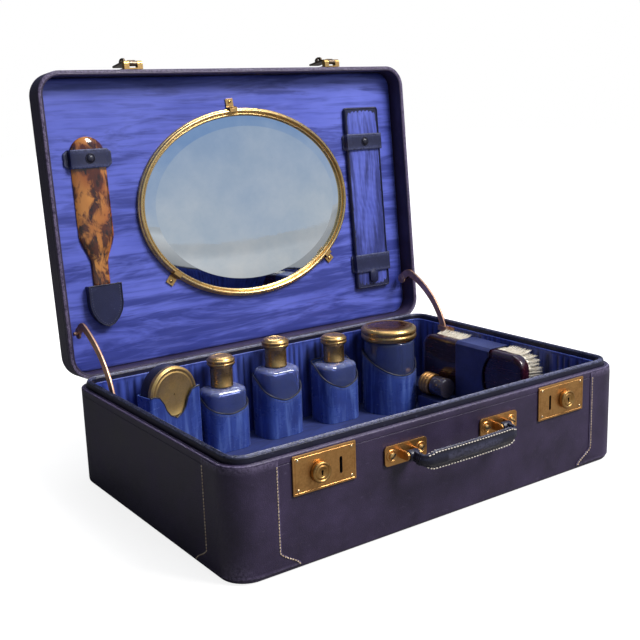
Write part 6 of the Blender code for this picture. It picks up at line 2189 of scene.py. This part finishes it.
        buffer = MeshBuffer().grid(on_edge(Plan(length, tall, corner, 14, 14).walls(*profile.T), BRUSH_LEFT))
        dots = np.array([(i * length * 0.27, j * tall * 0.30, 0.00025) for i in (-1, 0, 1) for j in (-1, 1)])
        axes = np.array([(0, 0.8, 0), (0, 0, -0.8), (-0.3, 0, 0)]) / 1000
        buffer.copies(DOME, on_edge(dots, BRUSH_LEFT), axes, 1)
        piece = buffer.make(f"brush_wood_{name}", [self.finishes.wood, self.finishes.pin], 40)
        finish_piece(piece, f"{name}_brush", [f"brush_back_{name}"])

        starts, tips = self.bristles(middle, (length, tall), base, seed)
        lean = tips - starts
        line = starts[:, None] + lean[:, None] * np.array([[0.0], [0.55], [1.0]])
        line[:, 1] -= lean * (0.0, 0.10, 0.10)
        a = round_turn(3)
        radius = np.array([0.00030, 0.00027, 0.00014])[:, None, None]
        points = line[:, :, None] + radius * stack3(0.0, np.cos(a), np.sin(a))
        faces = (ring_faces(3, 3), np.array([(0, 2, 1), (6, 7, 8)]))
        hair = MeshBuffer().shapes(points.reshape(len(starts), 9, 3), faces)
        core = Plan(length - 0.005, tall - 0.005, corner - 0.0025, 8, 8)
        hair.grid(on_edge(core.walls(np.array([0.0, 0.0, 0.0015]), np.array([0.0, 0.0040, 0.0046])), base))
        piece = hair.make(f"bristles_{name}", [self.finishes.bristle], 80)
        finish_piece(piece, f"{name}_brush", [f"brush_bristles_{name}"])

    def bristles(self, middle: Array, size: tuple[float, float], base: float, seed: int) -> tuple[Array,
                                                                                                  Array]:
        """Where each bristle starts and ends.

        Bunches stand in even rows inside the back's outline. A bristle leans outward by the square of its
        bunch's place, more toward the top, plus a small fixed wander; beside the saddle it stays low.

        Args:
            middle: middle of the back along Y and Z.
            size: length and height of the back.
            base: X at which the bristles start.
            seed: seed of the wander.

        Returns:
            (n, 3) starts and (n, 3) ends.
        """
        inset, pitch, each = 0.0016, 0.0031, 12
        half_y, half_z = size[0] / 2, size[1] / 2
        gy, gz = np.meshgrid(np.arange(inset - half_y, half_y - inset + 1e-6, pitch),
                             np.arange(half_z - inset, -half_z, -pitch), indexing="ij")
        gy, gz = gy.ravel(), gz.ravel()
        corner = self.brush_corner
        out = np.hypot(np.maximum(np.abs(gy) - half_y + corner, 0),
                       np.maximum(np.abs(gz) - half_z + corner, 0))
        inside = out < corner - inset + 0.0002
        gy, gz = np.repeat(gy[inside], each), np.repeat(gz[inside], each)
        turn, far, lean_y, lean_z, short = wander(5 * len(gy), seed).reshape(5, -1)
        spread = np.sqrt(np.abs(far))
        off_y, off_z = spread * np.cos(math.pi * turn), spread * np.sin(math.pi * turn)
        y, z = middle[0] + gy + 0.0006 * off_y, middle[1] + gz + 0.0006 * off_z
        clear = smooth(np.maximum(-0.0185 - y, y - 0.0345) / 0.004)
        fan_z = np.sign(gz) * (gz / half_z) ** 2 * np.where(gz > 0, 0.02 + 0.26 * clear, 0.06)
        fan_y = np.sign(gy) * (gy / half_y) ** 2 * np.select([y < -0.02, y > 0.04], [0.42, 0.16], 0.05)
        stretch = self.bristle_reach - 0.0004 + 0.0008 * short
        dz = stretch * (fan_z + 0.025 * lean_z + 0.05 * off_z)
        dy = stretch * (fan_y + 0.025 * lean_y + 0.05 * off_y)
        top = middle[1] + half_z - 0.0010 + 0.0036 * clear
        return stack3(base, y, z), stack3(base + stretch, y + dy, np.minimum(z + dz, top))

    def small_jar(self) -> None:
        """Small jar on its side, with a cap of three ribs."""
        centre = (0.1530, 0.0300, REST_TOP + GAP + 0.0120)
        axes = np.array([(1, 0, 0), (0, 0, -1), (0, 1, 0)], float)
        r, neck, length, cap = 0.0106, 0.0085, 0.0200, 0.0160
        end = length + cap
        mouth = end - 0.0014 - GAP
        glass = joined(
            (0.0008, 0),
            mm((-2.2, 0), (-0.6, 0.4), (0, 1.8), at=(r, 0)),
            mm((0, -1.6), (-0.4, -0.6), at=(r, length)),
            [(neck, length), (neck, mouth), (neck - 0.0018, mouth), (neck - 0.0018, 0.0030),
             (0.0008, 0.0024)],
        )
        buffer = MeshBuffer().grid(lathe(glass, centre, 60, axes))
        piece = buffer.make("vial_glass", [self.finishes.dark_glass], 50)
        finish_piece(piece, "little_jar", ["small_jar"])
        rim, inner, start = 0.0120, neck + FIT, length + 0.0005
        span = (end - start - 0.0020) / 3
        ribs = [bead(rim - 0.0009, start + 0.0008 + span * (k + 0.46), 0.0009, span * 0.42, 80,
                     6) for k in range(3)]
        section = joined(
            [(inner, start), (rim - 0.0011, start)],
            *ribs,
            mm((-1.2, -0.6), (-2.6, 0), (-4.6, 0), (-5.0, -0.2), at=(rim, end)),
            mm((0.6, -0.2), (0.6, -1.4), at=(0, end)),
            (inner, end - 0.0014),
        )
        buffer = MeshBuffer().grid(lathe(section, centre, 72, axes), along=True)
        piece = buffer.make("vial_cap", [self.finishes.plate], 40)
        finish_piece(piece, "little_jar", ["small_jar_cap"])

    def saddle_trim(self) -> None:
        """Piping round the bite in the brushes' saddle."""
        leather, radius = 0.0013, 0.034
        foot, top = REST_TOP + GAP, REST_TOP + 2 * GAP + BRUSH_TALL + FIT + leather
        mid = (foot + top) / 2
        a = np.linspace(-1, 1, 41) * math.asin((top - 0.003 - mid) / radius)
        y = np.maximum(SADDLE_FRONT - radius + 0.0085 + radius * np.cos(a), SADDLE_FRONT)
        path = stack3(BRUSH_LEFT - FIT - leather, y, mid + radius * np.sin(a))
        buffer = MeshBuffer().grid(tube(path, 0.0007, np.array([-1.0, 0, 0])))
        finish_piece(buffer.make("saddle_piping", [self.finishes.edge], 60), "base")

    def build(self) -> None:
        """Makes every fitting."""
        for size in BOTTLES:
            self.bottle(size)
            self.cap(size)
            self.sleeve(size)
        self.cream_jar()
        self.powder_box()
        self.brush("rear", (0.0120, 0.0880), 11)
        self.brush("front", (-0.0600, 0.0080), 23)
        dress_node("brush_rest", self.finishes.floor, 0.0006)
        dress_node("brush_saddle", self.finishes.saddle, 0.0004)
        self.saddle_trim()
        self.small_jar()


def screw_piece(name: str, body: str, spots: Array, axes: Array, radius: float, finishes: Finishes) -> Object:
    """Slotted screw heads.

    Args:
        name: the piece's name.
        body: the body that they ride on.
        spots: (n, 3) places.
        axes: (3, 3) or (n, 3, 3), the last row out of the surface.
        radius: radius of a head.
        finishes: the finishes.

    Returns:
        The piece.
    """
    axes = np.broadcast_to(axes, (len(spots), 3, 3))
    buffer = MeshBuffer().copies(DOME, spots, axes * radius)
    # Each head's slot is a thin dark bar: painted shade where the slot would be.
    corners = ((-0.86, -1), (0.86, -1), (0.86, 1), (-0.86, 1))
    bar = np.array([(i, j * 0.16, 0.56 + k * 0.08) for k in (-1, 1) for i, j in corners])
    sides = np.array([(0, 1, 5, 4), (1, 2, 6, 5), (2, 3, 7, 6), (3, 0, 4, 7), (3, 2, 1, 0), (4, 5, 6, 7)])
    a = wander(len(spots), 5)[:, None] * 1.2
    x, y = rotated(axes[:, 0], axes[:, 1], -a)
    turned = np.stack([x, y, axes[:, 2]], axis=1)
    buffer.copies(Template(bar, (sides,)), spots, turned * radius, 1)
    piece = buffer.make(name, [finishes.bright, finishes.dark], 30)
    return finish_piece(piece, body)


@dataclass
class Metalwork:
    """The solids that keep their shape, with their finish, and the screws that hold them."""

    finishes: Finishes
    mount_thick: float = 0.0015
    mount_screw: float = 0.0148
    hinge_screw: float = 0.0140
    guide_screw: float = 0.0112
    clip_out: float = 0.0066

    def build(self) -> None:
        """Dresses hinges, guides, hasps and mounts, and adds their screws."""
        f = self.finishes
        for name, _ in SIDES:
            dress_node(f"handle_mount_{name}", f.plate, 0.00035)
            dress_node(f"hinge_leaf_base_{name}", f.plate)
            dress_node(f"hinge_leaf_lid_{name}", f.plate)
            dress_node(f"stay_guide_{name}", f.stay)
            dress_node(f"hasp_base_{name}", f.bright, 0.0003)
            dress_node(f"hasp_{name}", f.steel, 0.0003)
        face = FRONT_Y - GAP - self.mount_thick
        spots = np.array([(side * MOUNT_X + i * self.mount_screw, face, MOUNT_Z) for _,
                          side in SIDES for i in (-1, 1)])
        screw_piece("mount_screws", "base", spots - (0, 0.0007, 0), FRONT_AXES, 0.0032, f)
        boss = mm((0.4, -0.3), (5.2, -0.3), (5.2, 0.4), (4.8, 0.8), (4.0, 0.8), (3.6, 0.5), (0.4, 0.5))
        buffer = MeshBuffer()
        for spot in spots:
            buffer.grid(lathe(boss, spot, 40, FRONT_AXES))
        finish_piece(buffer.make("mount_bosses", [f.plate]), "base")
        leaf = [side * HINGE_X + i * self.hinge_screw for _, side in SIDES for i in (-1, 0, 1)]
        back = stack3(leaf, CASE_DEPTH / 2 + GAP + HINGE_LEAF, BASE_HEIGHT - 0.0105)
        screw_piece("hinge_screws", "base", back, BACK_AXES, 0.0016, f)
        signs = np.array([side for _, side in SIDES])
        wall = CASE_WIDTH / 2 - TRAY_OFFSET - TRAY_WALL - GAP - 0.0004
        spots = stack3(signs * wall, KEEPER[0] - self.guide_screw, KEEPER[1])
        in_axes = np.array([[(0, side, 0), (0, 0, 1), (-side, 0, 0)] for side in signs], float)
        screw_piece("guide_screws", "base", spots, in_axes, 0.0015, f)
        a = np.radians([95, 222, 318])
        way = pair(np.cos(a), np.sin(a))
        clips = MIRROR_CENTRE + MIRROR_HALF * way + unit(way / MIRROR_HALF) * self.clip_out
        screw_piece("clip_screws", "lid", lid_place(stack3(*clips.T, SEAT_W - 0.0011)), LID_AXES, 0.0019, f)
        out_axes = unit(LID_AXES[[0, 2, 1]] * [[1], [-1], [-1]])
        spots = lid_place(stack3(leaf, -GAP - HINGE_LEAF, 0.0100))
        screw_piece("lid_hinge_screws", "lid", spots, out_axes, 0.0016, f)


@dataclass
class Studio:
    """Pale floor, soft light and the camera at the photograph's place."""

    location: tuple[float, float, float] = (-0.52311, -0.70228, 0.34280)
    rotation: tuple[float, float, float] = (1.3463, 0.0315, -0.6197)
    lens: float = 55.147

    def floor(self) -> Object:
        """Pale level ground.

        What the camera sees of it is lifted toward white, more with its distance, so that only the soft
        shadow under the case is left; reflections see its far part as pale as the sky.

        Returns:
            The piece.
        """
        side = np.linspace(-6.0, 6.0, 41)
        gx, gy = np.meshgrid(side, side, indexing="ij")
        buffer = MeshBuffer().grid(stack3(gx, gy, -0.00005), around=False)
        s = Surface("studio_floor")
        where = s.place()
        grain = s.noise(where, 60.0, 3.0)
        s.colour(s.blend(s.span(grain, 0.3, 0.7), (0.20, 0.20, 0.20), (0.23, 0.23, 0.23)))
        s.put("Roughness", s.span(grain, 0.3, 0.7, 0.75, 0.85))
        s.put("Specular IOR Level", 0.1)
        far = s.node("VectorMath", {0: where}, operation="LENGTH").outputs["Value"]
        path = s.node("LightPath").outputs
        seen = s.sum("MULTIPLY", path["Is Camera Ray"], s.span(far, 0.22, 0.60, 0.84, 1.2))
        ahead = s.node("SeparateXYZ", {0: where}).outputs[1]
        mirrored = s.sum("MULTIPLY", path["Is Glossy Ray"], s.span(ahead, -0.50, -2.20, 0.0, 0.45))
        s.put("Emission Color", (1.0, 1.0, 1.0, 1.0))
        s.put("Emission Strength", s.sum("ADD", seen, mirrored))
        piece = buffer.make("studio_ground", [s.material])
        return piece

    def light(self, name: str, place: tuple[float, float, float], size: float, power: float,
              tint: Colour) -> None:
        """One soft area light that looks at the case.

        Args:
            name: the light's name.
            place: where it hangs.
            size: its width and height.
            power: its power in watts.
            tint: its colour.
        """
        data = bpy.data.lights.new(name, "AREA")
        data.size = size
        data.energy = power
        data.color = tint
        lamp = bpy.data.objects.new(name, data)
        lamp.location = place
        away = np.array(place) - (0, 0, 0.12)
        tilt = math.atan2(math.hypot(away[0], away[1]), away[2])
        lamp.rotation_euler = (tilt, 0, math.atan2(away[1], away[0]) + math.pi / 2)
        bpy.context.scene.collection.objects.link(lamp)

    def world(self) -> None:
        """White to the camera, a soft sky to reflections, and a dim light that is stronger near the key.

        The light's strength follows the share of its direction that points to the key light.
        """
        world = bpy.data.worlds.new("studio_sky")
        world.use_nodes = True
        bpy.context.scene.world = world
        tree = world.node_tree

        def node(kind: str, inputs: dict[Any, Any], **settings: Any) -> bpy.types.Node:
            """Adds a node to the sky, as add_node does."""
            return add_node(tree, kind, inputs, **settings)

        where = tree.nodes.new("ShaderNodeTexCoord").outputs["Generated"]
        key = (0.72, -0.66, 0.20)
        toward = node("VectorMath", {0: where, 1: key}, operation="DOT_PRODUCT").outputs["Value"]
        strength = node("MapRange", {0: toward, 1: -0.5, 2: 0.9, 3: 0.02, 4: 0.52}).outputs[0]
        shine = node("MapRange", {0: toward, 1: -0.6, 2: 0.5, 3: 0.12, 4: 0.75}).outputs[0]
        height = node("SeparateXYZ", {0: where}).outputs[2]
        clouds = node("TexNoise", {0: where, "Scale": 2.2, "Detail": 3.0}).outputs[0]
        level = node("Math", {0: height, 1: clouds}, operation="ADD").outputs[0]
        share = node("MapRange", {0: level, 1: 0.35, 2: 1.0}).outputs[0]
        sky = node("Mix", {0: share}, data_type="RGBA")
        sky.inputs[6].default_value = (0.80, 0.83, 0.86, 1.0)
        sky.inputs[7].default_value = (0.34, 0.50, 0.80, 1.0)
        dim = node("Background", {0: (0.90, 0.93, 1.0, 1.0), 1: strength}).outputs[0]
        reflected = node("Background", {0: sky.outputs[2], 1: shine}).outputs[0]
        white = node("Background", {0: (1.0, 1.0, 1.0, 1.0), 1: 1.0}).outputs[0]
        path = tree.nodes.new("ShaderNodeLightPath")
        glossy = node("MixShader", {0: path.outputs["Is Glossy Ray"], 1: dim, 2: reflected}).outputs[0]
        seen = node("MixShader", {0: path.outputs["Is Camera Ray"], 1: glossy, 2: white}).outputs[0]
        tree.links.new(seen, tree.nodes["World Output"].inputs["Surface"])

    def build(self) -> None:
        """Sets up floor, lights, sky, camera and colour view."""
        self.floor()
        self.light("key", (0.95, -1.35, 1.95), 0.9, 78.0, (1.0, 0.97, 0.94))
        self.light("sky_panel", (0.25, 0.3, 2.0), 1.4, 15.0, (0.92, 0.95, 1.0))
        self.world()
        data = bpy.data.cameras.new("camera")
        data.lens = self.lens
        data.sensor_width = 36
        data.clip_start = 0.01
        camera = bpy.data.objects.new("camera", data)
        camera.location = self.location
        camera.rotation_euler = self.rotation
        bpy.context.scene.collection.objects.link(camera)
        bpy.context.scene.camera = camera
        bpy.context.scene.view_settings.view_transform = "Standard"


def main() -> None:
    """Dresses the whole case and sets up the studio."""
    logging.basicConfig(level=logging.INFO, format="%(name)s: %(message)s")
    finishes = Finishes()
    CaseBody(finishes).build()
    Locks(finishes).build()
    Handle(finishes).build()
    Lid(finishes).build()
    Mirror(finishes).build()
    LidArticles(finishes).build()
    Fittings(finishes).build()
    Metalwork(finishes).build()
    Studio().build()


if __name__ == "__main__":
    main()
